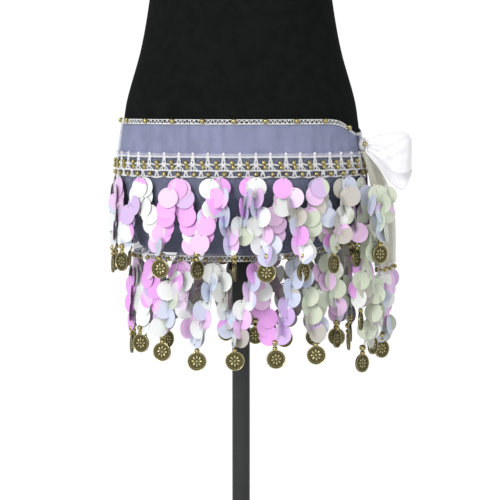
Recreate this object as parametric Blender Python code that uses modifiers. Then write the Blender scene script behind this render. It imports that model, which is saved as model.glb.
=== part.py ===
"""Belly dance hip scarf of sheer white chiffon, tied at the left hip of a limbless dress form on a stand.

Metres, +Z up. The form faces -Y, and +X is its left side. The origin is the centre of the stand's
underside, and the pole runs up +Z. The scarf goes once round the hips from the knot, across the front
first. A place on it is given by the distance along that way, its height, and how far it stands out.
"""

import bisect
import math
import random
from collections import namedtuple

import bmesh
import bpy
from mathutils import Vector

# Gaps and cloth walls
SEAM_GAP = 0.0003
LAYER_GAP = 0.0004
CLOTH_TO_FORM = 0.0006
CHIFFON_WALL = 0.0010
LATTICE_WALL = 0.0014
EDGING_WALL = 0.0016

# Dress form: half width and depths of its section at each height
Section = namedtuple("Section", "z half_width front back")
FORM_SECTIONS = [
    Section(0.8715, 0.1150, 0.0785, 0.0885),
    Section(0.878, 0.1240, 0.0854, 0.0955),
    Section(0.890, 0.1270, 0.0878, 0.0980),
    Section(0.902, 0.1335, 0.0930, 0.1040),
    Section(0.930, 0.1435, 0.1005, 0.1120),
    Section(0.965, 0.1485, 0.1045, 0.1160),
    Section(0.992, 0.1467, 0.1045, 0.1140),
    Section(1.022, 0.1430, 0.1045, 0.1080),
    Section(1.053, 0.1382, 0.1030, 0.1000),
    Section(1.114, 0.1212, 0.0970, 0.0850),
    Section(1.175, 0.1104, 0.0890, 0.0770),
    Section(1.200, 0.1092, 0.0875, 0.0760),
    Section(1.240, 0.1128, 0.0885, 0.0790),
    Section(1.300, 0.1220, 0.0940, 0.0880),
    Section(1.360, 0.1330, 0.0980, 0.0970),
    Section(1.420, 0.1430, 0.0960, 0.1030),
    Section(1.465, 0.1540, 0.0880, 0.1020),
    Section(1.500, 0.1610, 0.0770, 0.0940),
    Section(1.528, 0.1530, 0.0660, 0.0800),
    Section(1.548, 0.1220, 0.0570, 0.0680),
    Section(1.566, 0.0830, 0.0510, 0.0570),
    Section(1.584, 0.0600, 0.0480, 0.0500),
    Section(1.610, 0.0530, 0.0470, 0.0480),
    Section(1.640, 0.0515, 0.0465, 0.0475),
]
FORM_ROUNDNESS = 2.25
FORM_RING_STEP = 0.030
FORM_COLUMNS = 32
HIPS_Z = 0.965
SKIRT_HANGS_FROM = 0.893
BUST_Z = 1.372
BUST_HEIGHT = 0.058
BUST_DEPTH = 0.030
BUST_TURN = math.radians(33)
BUST_SPREAD = math.radians(27)

# Stand
POLE_RADIUS = 0.0108
SOCKET_BORE = POLE_RADIUS + SEAM_GAP
SOCKET_RADIUS = 0.0155
POLE_FOOT_Z = 0.020
BASE_RADIUS = 0.170
BASE_RIM = 0.006
BASE_DISC = 0.012
BASE_CROWN = 0.001
BASE_FLARE = 0.012
BASE_SOCKET_TOP = 0.065
FORM_SOCKET_LOW = 0.846
BASE_STEPS = 36
SMALL_STEPS = 24
CAP_RISE = 0.009
CAP_OVERHANG = 0.002

# Scarf heights
TOP_EDGE_Z = 1.0240
FOLD_HEM_Z = 0.9868
LATTICE_LOW_Z = 0.9632
HEM_Z = 0.8700
TOP_EDGING_HEIGHT = 0.0070
HEM_EDGING_HEIGHT = 0.0072
TIER_ONE_STRIP_HEIGHT = 0.0020

# Knot, and how the scarf is drawn down above it and lifted at the hem below it
KNOT_ANGLE = math.radians(-20)
KNOT_Z = 1.0000
KNOT_HALF = Vector((0.0055, 0.0075, 0.0085))
KNOT_TURNS = 5
KNOT_GROOVE = 0.05
DRAWN_DOWN_SHARE = 0.56
DRAWN_DOWN_REACH = 0.024
DRAWN_DOWN_BEHIND = 0.100
HEM_LIFT = 0.0140
HEM_LIFT_REACH = 0.080
SLIT = 0.0030

CLOTH_COLUMNS = 64
PANEL_HEIGHTS = [TOP_EDGE_Z, 0.992, HIPS_Z, 0.930, 0.902, SKIRT_HANGS_FROM, HEM_Z]
BAND_HEIGHTS = [TOP_EDGE_Z, 1.006, FOLD_HEM_Z]

# Crochet lattice: rails and rows of openings, top to bottom
LATTICE_HEIGHTS = [FOLD_HEM_Z - SEAM_GAP, 0.9850, 0.9795, 0.9715, 0.9660, LATTICE_LOW_Z]
LATTICE_OPEN_ROWS = (1, 3)
LATTICE_REPEAT = 0.0181
LATTICE_BAR = 0.0028

# Swags of the fringe: where each front one hangs, as a distance along the cloth from the middle of the front,
# and its length against the usual one. The back ones are evenly spaced.
Swag = namedtuple("Swag", "middle length")
FRONT_TIER_ONE = [
    Swag(0.1430, 0.87),
    Swag(0.1083, 0.92),
    Swag(0.0700, 1.00),
    Swag(0.0295, 1.00),
    Swag(-0.0068, 0.99),
    Swag(-0.0490, 0.97),
    Swag(-0.0925, 0.97),
    Swag(-0.1490, 0.92),
    Swag(-0.1855, 0.97),
]
FRONT_TIER_TWO = [
    Swag(0.1370, 0.97),
    Swag(0.1005, 1.09),
    Swag(0.0450, 1.06),
    Swag(-0.0080, 1.06),
    Swag(-0.0572, 1.07),
    Swag(-0.1055, 0.98),
    Swag(-0.1470, 0.91),
    Swag(-0.1860, 0.96),
]
BACK_SWAGS = 11
LENGTH_SPREAD = 0.05
SEED = 7
ROOT_WIDTH = 0.0036
ROOT_FROM_NEIGHBOUR = 0.0042

# A swag's two arms, and the beads and coin below them. Drop is from the strip, centre is a share of the way
# from the swag's middle to the arm's root, and inner and outer are stand-offs from the strip's inner face.
Arm = namedtuple("Arm", "drop centre width inner outer")
ARM = [
    Arm(0.0045, 0.80, 0.0135, 0.0004, 0.0060),
    Arm(0.0300, 0.74, 0.0150, 0.0004, 0.0110),
    Arm(0.0860, 0.57, 0.0138, 0.0010, 0.0105),
]
COIN_STRAND = [
    Arm(0.0890, 0.0, 0.0078, 0.0050, 0.0112),
    Arm(0.0980, 0.0, 0.0066, 0.0060, 0.0100),
    Arm(0.1037, 0.0, 0.0220, 0.0072, 0.0098),
    Arm(0.1154, 0.0, 0.0220, 0.0072, 0.0098),
    Arm(0.1205, 0.0, 0.0080, 0.0072, 0.0098),
]

# Half bow: one chiffon loop. Each cut through it is at a share of the way out along the front layer and back
# behind it, and is measured from where the loop leaves the knot: how far out, how far back, its top and its foot.
BowCut = namedtuple("BowCut", "share out side top foot")
BOW_CUTS = [
    BowCut(0.00, 0.0000, -0.0030, 0.0055, -0.0065),
    BowCut(0.10, 0.0120, -0.0090, 0.0100, -0.0150),
    BowCut(0.25, 0.0320, -0.0140, 0.0138, -0.0330),
    BowCut(0.40, 0.0465, -0.0110, 0.0125, -0.0325),
    BowCut(0.50, 0.0535, 0.0000, 0.0055, -0.0305),
    BowCut(0.60, 0.0505, 0.0100, 0.0075, -0.0445),
    BowCut(0.70, 0.0425, 0.0140, 0.0080, -0.0545),
    BowCut(0.82, 0.0280, 0.0120, 0.0060, -0.0435),
    BowCut(0.92, 0.0140, 0.0070, 0.0040, -0.0250),
    BowCut(1.00, 0.0000, 0.0030, 0.0035, -0.0085),
]
# The soft crease that swings across its front
CreaseStep = namedtuple("CreaseStep", "out z")
BOW_CREASE = [
    CreaseStep(0.000, -0.0025),
    CreaseStep(0.008, -0.0085),
    CreaseStep(0.015, -0.0105),
    CreaseStep(0.023, -0.0065),
    CreaseStep(0.038, 0.0020),
    CreaseStep(0.054, 0.0060),
]
CREASE_DEPTH = 0.0032
CREASE_WIDTH = 0.0045
CREASE_REACH = 0.0520
BOW_TURN = math.radians(4)
BOW_WALL = 0.0012
BOW_FROM_KNOT = 0.0057
BOW_ALONG = 20
BOW_ACROSS = 12

# Tail: the scarf's loose end, in pleats under the knot, with one swag on its front and three at its hem
TAIL_TOP_Z = 0.9915
TAIL_LOW_Z = 0.8530
TAIL_NECK = 0.0130
TAIL_BEHIND_KNOT = 0.0030
TAIL_FRONT = Vector((0.1625, -0.0480, 0.0))
TAIL_BACK = Vector((0.1880, 0.0360, 0.0))
TAIL_FLARE = 3.6
TAIL_PLEATS = 3
TAIL_PLEAT_START = 0.12
TAIL_PLEAT_DEPTH = 0.0065
TAIL_NECK_PLEAT = 0.0020
TAIL_WALL = 0.0012
TAIL_ACROSS = 24
TAIL_HEIGHTS = 5
TAIL_EDGING_HEIGHT = 0.0090
TAIL_HEM_LENGTHS = (0.98, 0.80, 0.88)
TAIL_ARM_WIDTH = 0.80
TAIL_FRONT_SWAG_Z = 0.9530
TAIL_FRONT_SWAG_X = 0.1664
TAIL_FRONT_SWAG_SPAN = 0.0330
TAIL_FRONT_SWAG_GAP = 0.0014
TAIL_FRONT_SWAG_LENGTH = 0.73

# Finishes: base colour, roughness, metallic and opacity
Finish = namedtuple("Finish", "colour roughness metallic opacity")
FINISHES = {
    "form_black": Finish((0.012, 0.013, 0.015), 0.75, 0.0, 1.0),
    "stand_black": Finish((0.035, 0.038, 0.040), 0.45, 0.3, 1.0),
    "white_chiffon": Finish((0.86, 0.86, 0.90), 0.60, 0.0, 0.55),
    "white_crochet": Finish((0.93, 0.93, 0.92), 0.85, 0.0, 1.0),
    "pearl_sequin": Finish((0.93, 0.70, 0.90), 0.22, 0.1, 1.0),
}


def clear_scene():
    for old in list(bpy.data.objects):
        bpy.data.objects.remove(old, do_unlink=True)


def finish_material(name):
    material = bpy.data.materials.get(name)
    if material:
        return material
    finish = FINISHES[name]
    material = bpy.data.materials.new(name)
    material.use_nodes = True
    shader = material.node_tree.nodes["Principled BSDF"]
    shader.inputs["Base Color"].default_value = (*finish.colour, 1.0)
    shader.inputs["Roughness"].default_value = finish.roughness
    shader.inputs["Metallic"].default_value = finish.metallic
    shader.inputs["Alpha"].default_value = finish.opacity
    return material


def new_object(name, mesh, finish):
    mesh.materials.append(finish_material(finish))
    thing = bpy.data.objects.new(name, mesh)
    bpy.data.collections["hip_scarf"].objects.link(thing)
    return thing


def object_from_bmesh(name, bm, finish, sharp_angle=math.radians(50)):
    """Turns every face outwards, and shades the rounded ones smooth."""
    bmesh.ops.recalc_face_normals(bm, faces=bm.faces)
    mesh = bpy.data.meshes.new(name)
    bm.to_mesh(mesh)
    bm.free()
    mesh.shade_smooth()
    mesh.set_sharp_from_angle(angle=sharp_angle)
    return new_object(name, mesh, finish)


# The form's surface


def along_table(rows, key, value, column):
    """A column of a table where its key column has this value, on a smooth curve through its rows."""
    keys = [getattr(row, key) for row in rows]
    value = min(max(value, keys[0]), keys[-1])
    high = min(max(bisect.bisect_right(keys, value), 1), len(rows) - 1)
    low = high - 1

    def slope(k):
        before, after = max(k - 1, 0), min(k + 1, len(rows) - 1)
        return (getattr(rows[after], column) - getattr(rows[before], column)) / (keys[after] - keys[before])

    span = keys[high] - keys[low]
    t = (value - keys[low]) / span
    start, end = getattr(rows[low], column), getattr(rows[high], column)
    bend = (2 * t**3 - 3 * t**2 + 1) * start + (3 * t**2 - 2 * t**3) * end
    return bend + span * ((t**3 - 2 * t**2 + t) * slope(low) + (t**3 - t**2) * slope(high))


def form_point(angle, z):
    """The form's surface at an angle from +X, counter-clockwise from above."""
    across, deep = math.cos(angle), math.sin(angle)
    power = 2 / FORM_ROUNDNESS
    depth = along_table(FORM_SECTIONS, "z", z, "back" if deep > 0 else "front")
    x = math.copysign(abs(across) ** power, across) * along_table(FORM_SECTIONS, "z", z, "half_width")
    y = math.copysign(abs(deep) ** power, deep) * depth
    level = math.exp(-(((z - BUST_Z) / BUST_HEIGHT) ** 2))
    for side in (-1, 1):
        turn = math.remainder(angle - (side * BUST_TURN - math.pi / 2), math.tau)
        y -= BUST_DEPTH * level * math.exp(-((turn / BUST_SPREAD) ** 2))
    return Vector((x, y, z))


def hip_girth():
    """Distances round the hips from the knot, across the front first, and the angle at each."""
    steps = 720
    turns = [KNOT_ANGLE - math.tau * k / steps for k in range(steps + 1)]
    lengths = [0.0]
    for before, after in zip(turns, turns[1:]):
        step = form_point(after, HIPS_Z) - form_point(before, HIPS_Z)
        lengths.append(lengths[-1] + step.length)
    return lengths, turns


LENGTHS, TURNS = hip_girth()
GIRTH = LENGTHS[-1]
FRONT = LENGTHS[min(range(len(TURNS)), key=lambda k: abs(TURNS[k] + math.pi / 2))]
FAR_SIDE = LENGTHS[min(range(len(TURNS)), key=lambda k: abs(TURNS[k] + math.pi))]


def angle_at(along):
    along %= GIRTH
    high = min(max(bisect.bisect_right(LENGTHS, along), 1), len(LENGTHS) - 1)
    t = (along - LENGTHS[high - 1]) / (LENGTHS[high] - LENGTHS[high - 1])
    return TURNS[high - 1] + t * (TURNS[high] - TURNS[high - 1])


def skin_point(along, z, out, hangs_from=SKIRT_HANGS_FROM):
    """A point that stands out from the form. Below hangs_from it hangs straight down."""
    angle = angle_at(along)
    level = max(z, hangs_from)
    small_turn = 0.01
    tangent = form_point(angle + small_turn, level) - form_point(angle - small_turn, level)
    outwards = Vector((tangent.y, -tangent.x, 0)).normalized()
    point = form_point(angle, level) + outwards * out
    return Vector((point.x, point.y, z))


def tied_height(along, z):
    """Height of a scarf point once the knot has drawn the top edge down and lifted the hem beside it."""
    along %= GIRTH
    away = min(along, GIRTH - along)
    if z > KNOT_Z:
        reach = DRAWN_DOWN_REACH if along < GIRTH / 2 else DRAWN_DOWN_BEHIND
        return z - DRAWN_DOWN_SHARE * (z - KNOT_Z) * math.exp(-((away / reach) ** 2))
    lift = min(max((SKIRT_HANGS_FROM - z) / (SKIRT_HANGS_FROM - HEM_Z), 0), 1)
    return z + HEM_LIFT * lift * math.exp(-((away / HEM_LIFT_REACH) ** 2))


def scarf_point(along, z, out):
    return skin_point(along, tied_height(along, z), out)


SCARF_START = SLIT / 2
SCARF_END = GIRTH - SLIT / 2
PANEL_OUT = CLOTH_TO_FORM
BAND_OUT = PANEL_OUT + CHIFFON_WALL + LAYER_GAP
LACE_OUT = BAND_OUT
TIER_ONE_OUT = LACE_OUT + LATTICE_WALL / 2


# Building blocks


def sheet_object(name, rows, wall, finish, is_open=None):
    """An open grid of points, top row first, less its open cells, with a wall built outwards on it."""
    bm = bmesh.new()
    grid = [[bm.verts.new(point) for point in row] for row in rows]
    for j, (upper, lower) in enumerate(zip(grid, grid[1:])):
        for i in range(len(upper) - 1):
            if is_open and is_open(i, j):
                continue
            bm.faces.new((upper[i], upper[i + 1], lower[i + 1], lower[i]))
    mesh = bpy.data.meshes.new(name)
    bm.to_mesh(mesh)
    bm.free()
    mesh.shade_smooth()
    thing = new_object(name, mesh, finish)
    solidify = thing.modifiers.new("wall", "SOLIDIFY")
    solidify.thickness = wall
    solidify.offset = 1.0
    solidify.use_even_offset = True
    return thing


def turned_object(name, profile, steps, finish):
    """A profile of (radius, height) points, turned about the pole's axis."""
    mesh = bpy.data.meshes.new(name)
    edges = [(k, k + 1) for k in range(len(profile) - 1)]
    mesh.from_pydata([(radius, 0, z) for radius, z in profile], edges, [])
    thing = new_object(name, mesh, finish)
    screw = thing.modifiers.new("turn", "SCREW")
    screw.axis = "Z"
    screw.steps = screw.render_steps = steps
    screw.use_merge_vertices = True
    screw.merge_threshold = 0.00005
    screw.use_smooth_shade = True
    return thing


# A strand of fringe grows from the underside of one bay of its strip
Strand = namedtuple("Strand", "bay sections")


def fringe_object(name, strip, strands):
    """A narrow strip of four-cornered sections, with strands of four-cornered sections hanging from it."""
    bm = bmesh.new()
    corners = [[bm.verts.new(point) for point in section] for section in strip]
    underside = 3
    open_bays = {strand.bay for strand in strands}
    for k, (here, ahead) in enumerate(zip(corners, corners[1:])):
        for side in range(4):
            if side != underside or k not in open_bays:
                bm.faces.new((here[side], here[side - 1], ahead[side - 1], ahead[side]))
    bm.faces.new(corners[0])
    bm.faces.new(corners[-1])
    for strand in strands:
        here, ahead = corners[strand.bay], corners[strand.bay + 1]
        start = [here[2], ahead[2], ahead[3], here[3]]
        for section in strand.sections:
            ring = [bm.verts.new(point) for point in section]
            for k in range(4):
                bm.faces.new((start[k], start[k - 1], ring[k - 1], ring[k]))
            start = ring
        bm.faces.new(start)
    return object_from_bmesh(name, bm, "pearl_sequin")


def strip_section(place, along, high, low):
    """A strip's section, seen from its start: the inner top corner, then outwards, down and back in."""
    corners = ((high, 0), (high, EDGING_WALL), (low, EDGING_WALL), (low, 0))
    return [place(along, z, stand_off) for z, stand_off in corners]


def strand_sections(place, middle, root, top, length, rows, slimness=1.0):
    """Corners of an arm's sections, by the swag's middle and the arm's root."""
    sections = []
    for row in rows:
        centre = middle + (root - middle) * row.centre
        half = row.width * (1 if row.centre == 0 else slimness) / 2
        z = top - row.drop * length
        sections.append(
            [
                place(centre - half, z, row.outer),
                place(centre + half, z, row.outer),
                place(centre + half, z, row.inner),
                place(centre - half, z, row.inner),
            ]
        )
    return sections


def hang_swags(name, swags, start, end, place, height_at, slimness=1.0):
    """Swags of two arms side by side along a strip from start to end, the first arm with beads and a coin."""
    middles = [middle for middle, _ in swags]
    edges = [start] + [(a + b) / 2 for a, b in zip(middles, middles[1:])] + [end]
    stations, strands = [start], []
    for k, (middle, length) in enumerate(swags):
        first, second = edges[k] + ROOT_FROM_NEIGHBOUR, edges[k + 1] - ROOT_FROM_NEIGHBOUR
        for root, rows in ((first, ARM + COIN_STRAND), (second, ARM)):
            sections = strand_sections(place, middle, root, height_at(root)[1], length, rows, slimness)
            strands.append(Strand(len(stations), sections))
            stations += [root - ROOT_WIDTH / 2, root + ROOT_WIDTH / 2]
            if root == first:
                stations.append(middle)
    stations.append(end)
    strip = [strip_section(place, along, *height_at(along)) for along in stations]
    return fringe_object(name, strip, strands)


# Stand and form


def make_base():
    turned_object(
        "stand_base",
        [
            (0, POLE_FOOT_Z - SEAM_GAP),
            (SOCKET_BORE, POLE_FOOT_Z - SEAM_GAP),
            (SOCKET_BORE, BASE_SOCKET_TOP),
            (SOCKET_RADIUS, BASE_SOCKET_TOP),
            (SOCKET_RADIUS + BASE_CROWN, BASE_DISC + BASE_FLARE),
            (SOCKET_RADIUS * 2, BASE_DISC + BASE_FLARE / 4),
            (BASE_RADIUS * 0.75, BASE_DISC),
            (BASE_RADIUS - BASE_RIM, BASE_DISC - BASE_CROWN),
            (BASE_RADIUS, BASE_RIM),
            (BASE_RADIUS, 0),
            (0, 0),
        ],
        BASE_STEPS,
        "stand_black",
    )


def make_pole():
    top = FORM_SECTIONS[0].z - SEAM_GAP
    bm = bmesh.new()
    bmesh.ops.create_cone(
        bm,
        cap_ends=True,
        segments=SMALL_STEPS,
        radius1=POLE_RADIUS,
        radius2=POLE_RADIUS,
        depth=top - POLE_FOOT_Z,
    )
    pole = object_from_bmesh("stand_pole", bm, "stand_black")
    pole.location.z = (top + POLE_FOOT_Z) / 2


def make_form_socket():
    top = FORM_SECTIONS[0].z - SEAM_GAP
    turned_object(
        "form_socket",
        [
            (SOCKET_BORE, top),
            (SOCKET_RADIUS, top),
            (SOCKET_RADIUS, FORM_SOCKET_LOW),
            (SOCKET_BORE, FORM_SOCKET_LOW),
            (SOCKET_BORE, top),
        ],
        SMALL_STEPS,
        "stand_black",
    )


def form_heights():
    """Rings at the hip sections, where the cloth lies, and evenly spaced above them."""
    low = [section.z for section in FORM_SECTIONS if section.z <= TOP_EDGE_Z] + [SKIRT_HANGS_FROM]
    last, top = max(low), FORM_SECTIONS[-1].z
    count = round((top - last) / FORM_RING_STEP)
    return sorted(low) + [last + (top - last) * k / count for k in range(1, count + 1)]


def make_form():
    """The torso, lofted through its rings from the flat underside to the flat top of the neck."""
    places = [GIRTH * k / FORM_COLUMNS for k in range(FORM_COLUMNS)]
    bm = bmesh.new()
    rings = [[bm.verts.new(form_point(angle_at(along), z)) for along in places] for z in form_heights()]
    for lower, upper in zip(rings, rings[1:]):
        for k in range(FORM_COLUMNS):
            bm.faces.new((lower[k - 1], lower[k], upper[k], upper[k - 1]))
    bm.faces.new(rings[0])
    bm.faces.new(rings[-1])
    object_from_bmesh("form_torso", bm, "form_black")


def make_neck_cap():
    top = FORM_SECTIONS[-1]
    radius = top.half_width + CAP_OVERHANG
    low = top.z + SEAM_GAP
    turned_object(
        "neck_cap",
        [
            (0, low + CAP_RISE),
            (radius * 0.55, low + CAP_RISE * 0.9),
            (radius * 0.88, low + CAP_RISE * 0.65),
            (radius, low + CAP_RISE * 0.3),
            (radius, low),
            (0, low),
        ],
        SMALL_STEPS,
        "stand_black",
    )


# Scarf cloth and crochet


def make_round_cloth(name, heights, out, wall, finish):
    step = (SCARF_END - SCARF_START) / CLOTH_COLUMNS
    places = [SCARF_START + k * step for k in range(CLOTH_COLUMNS + 1)]
    rows = [[scarf_point(along, z, out) for along in places] for z in heights]
    sheet_object(name, rows, wall, finish)


def make_top_edging():
    low = TOP_EDGE_Z + SEAM_GAP
    make_round_cloth("top_edging", [low + TOP_EDGING_HEIGHT, low], PANEL_OUT, EDGING_WALL, "white_crochet")


def make_lattice(name, start, end):
    """Half of the crochet lattice, with its two rows of openings cut through."""
    repeats = round((end - start) / LATTICE_REPEAT)
    repeat = (end - start - LATTICE_BAR) / repeats
    places = []
    for k in range(repeats + 1):
        bar = start + k * repeat
        places += [bar, bar + LATTICE_BAR]
    rows = [[scarf_point(along, z, LACE_OUT) for along in places] for z in LATTICE_HEIGHTS]
    sheet_object(
        name, rows, LATTICE_WALL, "white_crochet", is_open=lambda i, j: i % 2 and j in LATTICE_OPEN_ROWS
    )


# Fringe


def front_swags(table):
    return [(FRONT - swag.middle, swag.length) for swag in table]


def back_swags(luck):
    pitch = (SCARF_END - FAR_SIDE) / BACK_SWAGS
    lengths = [1 + luck.uniform(-LENGTH_SPREAD, LENGTH_SPREAD) for _ in range(BACK_SWAGS)]
    return [(FAR_SIDE + (k + 0.5) * pitch, length) for k, length in enumerate(lengths)]


def make_tier(name, table, luck, high, strip_height, out, hangs_from):
    """One tier of swags round the hips, in a front and a back half."""

    def place(along, z, stand_off):
        return skin_point(along, z, out + stand_off, hangs_from)

    def height_at(along):
        return tied_height(along, high), tied_height(along, high - strip_height)

    half_gap = SEAM_GAP / 2
    hang_swags(f"{name}_front", front_swags(table), SCARF_START, FAR_SIDE - half_gap, place, height_at)
    hang_swags(f"{name}_back", back_swags(luck), FAR_SIDE + half_gap, SCARF_END, place, height_at)


# Knot, bow and tail


def knot_centre():
    return skin_point(0, KNOT_Z, BAND_OUT + CHIFFON_WALL + LAYER_GAP + KNOT_HALF.x)


def make_knot():
    """A wrapped lump of cloth with grooves where its turns lie."""
    bm = bmesh.new()
    bmesh.ops.create_uvsphere(bm, u_segments=16, v_segments=10, radius=1.0)
    for vert in bm.verts:
        turn = math.atan2(vert.co.z, vert.co.y)
        groove = math.cos(KNOT_TURNS * turn + 2 * vert.co.x) * math.hypot(vert.co.y, vert.co.z)
        swell = 1 + KNOT_GROOVE * (groove - 1)
        vert.co = Vector(a * b * swell for a, b in zip(vert.co, KNOT_HALF))
    knot = object_from_bmesh("knot", bm, "white_chiffon")
    knot.location = knot_centre()
    knot.rotation_euler.z = KNOT_ANGLE


def bow_point(u, v):
    """The loop's inner surface: u from the knot, out along the front layer and back, v from top to foot."""
    out, side, top, foot = (
        along_table(BOW_CUTS, "share", u, column) for column in ("out", "side", "top", "foot")
    )
    z = top + (foot - top) * v
    side *= 1 - 0.30 * (2 * v - 1) ** 2
    if u < 0.5:
        below = (z - along_table(BOW_CREASE, "out", out, "z")) / CREASE_WIDTH
        fade = math.sin(math.pi * min(out / CREASE_REACH, 1)) ** 0.7
        side += CREASE_DEPTH * fade * (math.exp(-(below**2)) - 0.6 * math.exp(-((below + 1.7) ** 2)))
    outwards = Vector((math.cos(BOW_TURN), math.sin(BOW_TURN), 0))
    backwards = Vector((-outwards.y, outwards.x, 0))
    return knot_centre() + outwards * (BOW_FROM_KNOT + out) + backwards * side + Vector((0, 0, z))


def make_bow():
    rows = [
        [bow_point(i / BOW_ALONG, j / BOW_ACROSS) for i in range(BOW_ALONG + 1)] for j in range(BOW_ACROSS + 1)
    ]
    sheet_object("bow_loop", rows, BOW_WALL, "white_chiffon")


def tail_point(u, z, out=0.0):
    """The tail's surface: u runs from its front edge to its back edge."""
    fall = (TAIL_TOP_Z - z) / (TAIL_TOP_Z - TAIL_LOW_Z)
    wave = math.sin(math.tau * (TAIL_PLEATS * u + TAIL_PLEAT_START))
    hem = TAIL_FRONT.lerp(TAIL_BACK, u) + Vector((TAIL_PLEAT_DEPTH * wave + out, 0, 0))
    neck_shift = Vector((TAIL_NECK_PLEAT * wave + out, TAIL_BEHIND_KNOT + TAIL_NECK * (u - 0.5), 0))
    point = (knot_centre() + neck_shift).lerp(hem, 1 - (1 - fall) ** TAIL_FLARE)
    point.z = z
    return point


def make_tail():
    step = (TAIL_TOP_Z - TAIL_LOW_Z) / TAIL_HEIGHTS
    rows = [
        [tail_point(1 - i / TAIL_ACROSS, TAIL_TOP_Z - j * step) for i in range(TAIL_ACROSS + 1)]
        for j in range(TAIL_HEIGHTS + 1)
    ]
    sheet_object("tail_panel", rows, TAIL_WALL, "white_chiffon")


def make_tail_hem_fringe():
    """The hem's edging follows the pleats, and its arms hang side by side on the line between them."""
    reach = (TAIL_BACK - TAIL_FRONT).length
    high = TAIL_LOW_Z - SEAM_GAP
    low = high - TAIL_EDGING_HEIGHT
    pitch = reach / len(TAIL_HEM_LENGTHS)
    swags = [((k + 0.5) * pitch, length) for k, length in enumerate(TAIL_HEM_LENGTHS)]

    def place(along, z, stand_off):
        share = min(max(along / reach, 0), 1)
        if z < low:
            line = TAIL_FRONT.lerp(TAIL_BACK, share)
            return Vector((line.x + stand_off - COIN_STRAND[0].inner, line.y, z))
        edge = tail_point(share, TAIL_LOW_Z, stand_off)
        return Vector((edge.x, edge.y, z))

    hang_swags("tail_hem_fringe", swags, 0.0, reach, place, lambda along: (high, low), TAIL_ARM_WIDTH)


def make_tail_front_fringe():
    """One swag that hangs over the tail's front edge, facing forwards."""
    high = TAIL_FRONT_SWAG_Z
    low = high - TIER_ONE_STRIP_HEIGHT
    half = TAIL_FRONT_SWAG_SPAN / 2
    front = TAIL_FRONT.y - TAIL_FRONT_SWAG_GAP

    def place(along, z, stand_off):
        return Vector((TAIL_FRONT_SWAG_X + along, front - stand_off, z))

    swag = (0.0, TAIL_FRONT_SWAG_LENGTH)
    hang_swags("tail_front_fringe", [swag], -half, half, place, lambda along: (high, low), TAIL_ARM_WIDTH)


def main():
    clear_scene()
    collection = bpy.data.collections.new("hip_scarf")
    bpy.context.scene.collection.children.link(collection)
    luck = random.Random(SEED)

    make_base()
    make_pole()
    make_form_socket()
    make_form()
    make_neck_cap()

    make_round_cloth("chiffon_panel", PANEL_HEIGHTS, PANEL_OUT, CHIFFON_WALL, "white_chiffon")
    make_round_cloth("upper_band", BAND_HEIGHTS, BAND_OUT, CHIFFON_WALL, "white_chiffon")
    make_top_edging()
    make_lattice("lattice_front", SCARF_START, FAR_SIDE - SEAM_GAP / 2)
    make_lattice("lattice_back", FAR_SIDE + SEAM_GAP / 2, SCARF_END)
    make_tier(
        "tier_one_fringe",
        FRONT_TIER_ONE,
        luck,
        LATTICE_LOW_Z - SEAM_GAP,
        TIER_ONE_STRIP_HEIGHT,
        TIER_ONE_OUT,
        HIPS_Z,
    )
    make_tier(
        "tier_two_fringe",
        FRONT_TIER_TWO,
        luck,
        HEM_Z - SEAM_GAP,
        HEM_EDGING_HEIGHT,
        PANEL_OUT,
        SKIRT_HANGS_FROM,
    )

    make_knot()
    make_bow()
    make_tail()
    make_tail_hem_fringe()
    make_tail_front_fringe()


main()
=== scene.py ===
# %% [markdown]
# # A belly dance hip scarf on its dress form
# The scarf is one long strip of sheer white chiffon. Its top is folded over, a crocheted lace band is sewn
# below the fold, and two tiers of swags hang from it, each with pearly paillettes, gold beads and a coin.
# It is tied at the left hip of a black form without limbs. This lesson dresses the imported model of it:
# the solids say where each piece is, and every cell here makes one piece or finish finer.

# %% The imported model
import bisect
import math
import random
from collections import namedtuple

import bpy
import numpy as np
from mathutils import Matrix, Vector


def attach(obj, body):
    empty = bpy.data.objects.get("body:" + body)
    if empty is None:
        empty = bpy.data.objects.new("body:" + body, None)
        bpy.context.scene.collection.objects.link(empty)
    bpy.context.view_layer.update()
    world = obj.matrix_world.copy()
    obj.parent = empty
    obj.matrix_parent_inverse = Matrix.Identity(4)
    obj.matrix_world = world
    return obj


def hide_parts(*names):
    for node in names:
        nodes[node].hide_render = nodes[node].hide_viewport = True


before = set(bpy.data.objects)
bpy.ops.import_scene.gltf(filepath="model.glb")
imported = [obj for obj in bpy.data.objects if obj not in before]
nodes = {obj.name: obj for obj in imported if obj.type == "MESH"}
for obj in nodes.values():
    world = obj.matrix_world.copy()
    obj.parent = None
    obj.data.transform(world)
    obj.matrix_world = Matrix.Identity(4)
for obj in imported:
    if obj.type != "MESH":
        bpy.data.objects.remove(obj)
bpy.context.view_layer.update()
print("nodes of the packed model:", len(nodes))

# %% [markdown]
# ## Camera
# The picture is taken from in front of the hips with a long lens that looks slightly down. A wider lens
# nearer by would bend the hips round more than the photograph does, so the distance comes first here, and
# the lens angle follows from how many millimetres a pixel covers at the form's axis.

# %% Camera at the photograph's angle
PICTURE_SIZE = 500
PIXEL = 0.00122
CAMERA_DISTANCE = 2.4
CAMERA_PLACE = (0.011, -CAMERA_DISTANCE, 1.060)
# The picture's middle lies this many pixels below the lens's own height
AIM_BELOW = 156
LOOKS_DOWN = math.atan(AIM_BELOW * PIXEL / CAMERA_DISTANCE)

bpy.ops.object.camera_add(location=CAMERA_PLACE, rotation=(math.pi / 2 - LOOKS_DOWN, 0, 0))
camera = bpy.context.object
camera.data.sensor_width = 36
camera.data.angle = 2 * math.atan(PICTURE_SIZE / 2 * PIXEL / CAMERA_DISTANCE)
bpy.context.scene.camera = camera
print("lens angle:", round(math.degrees(camera.data.angle), 2), "degrees")

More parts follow.
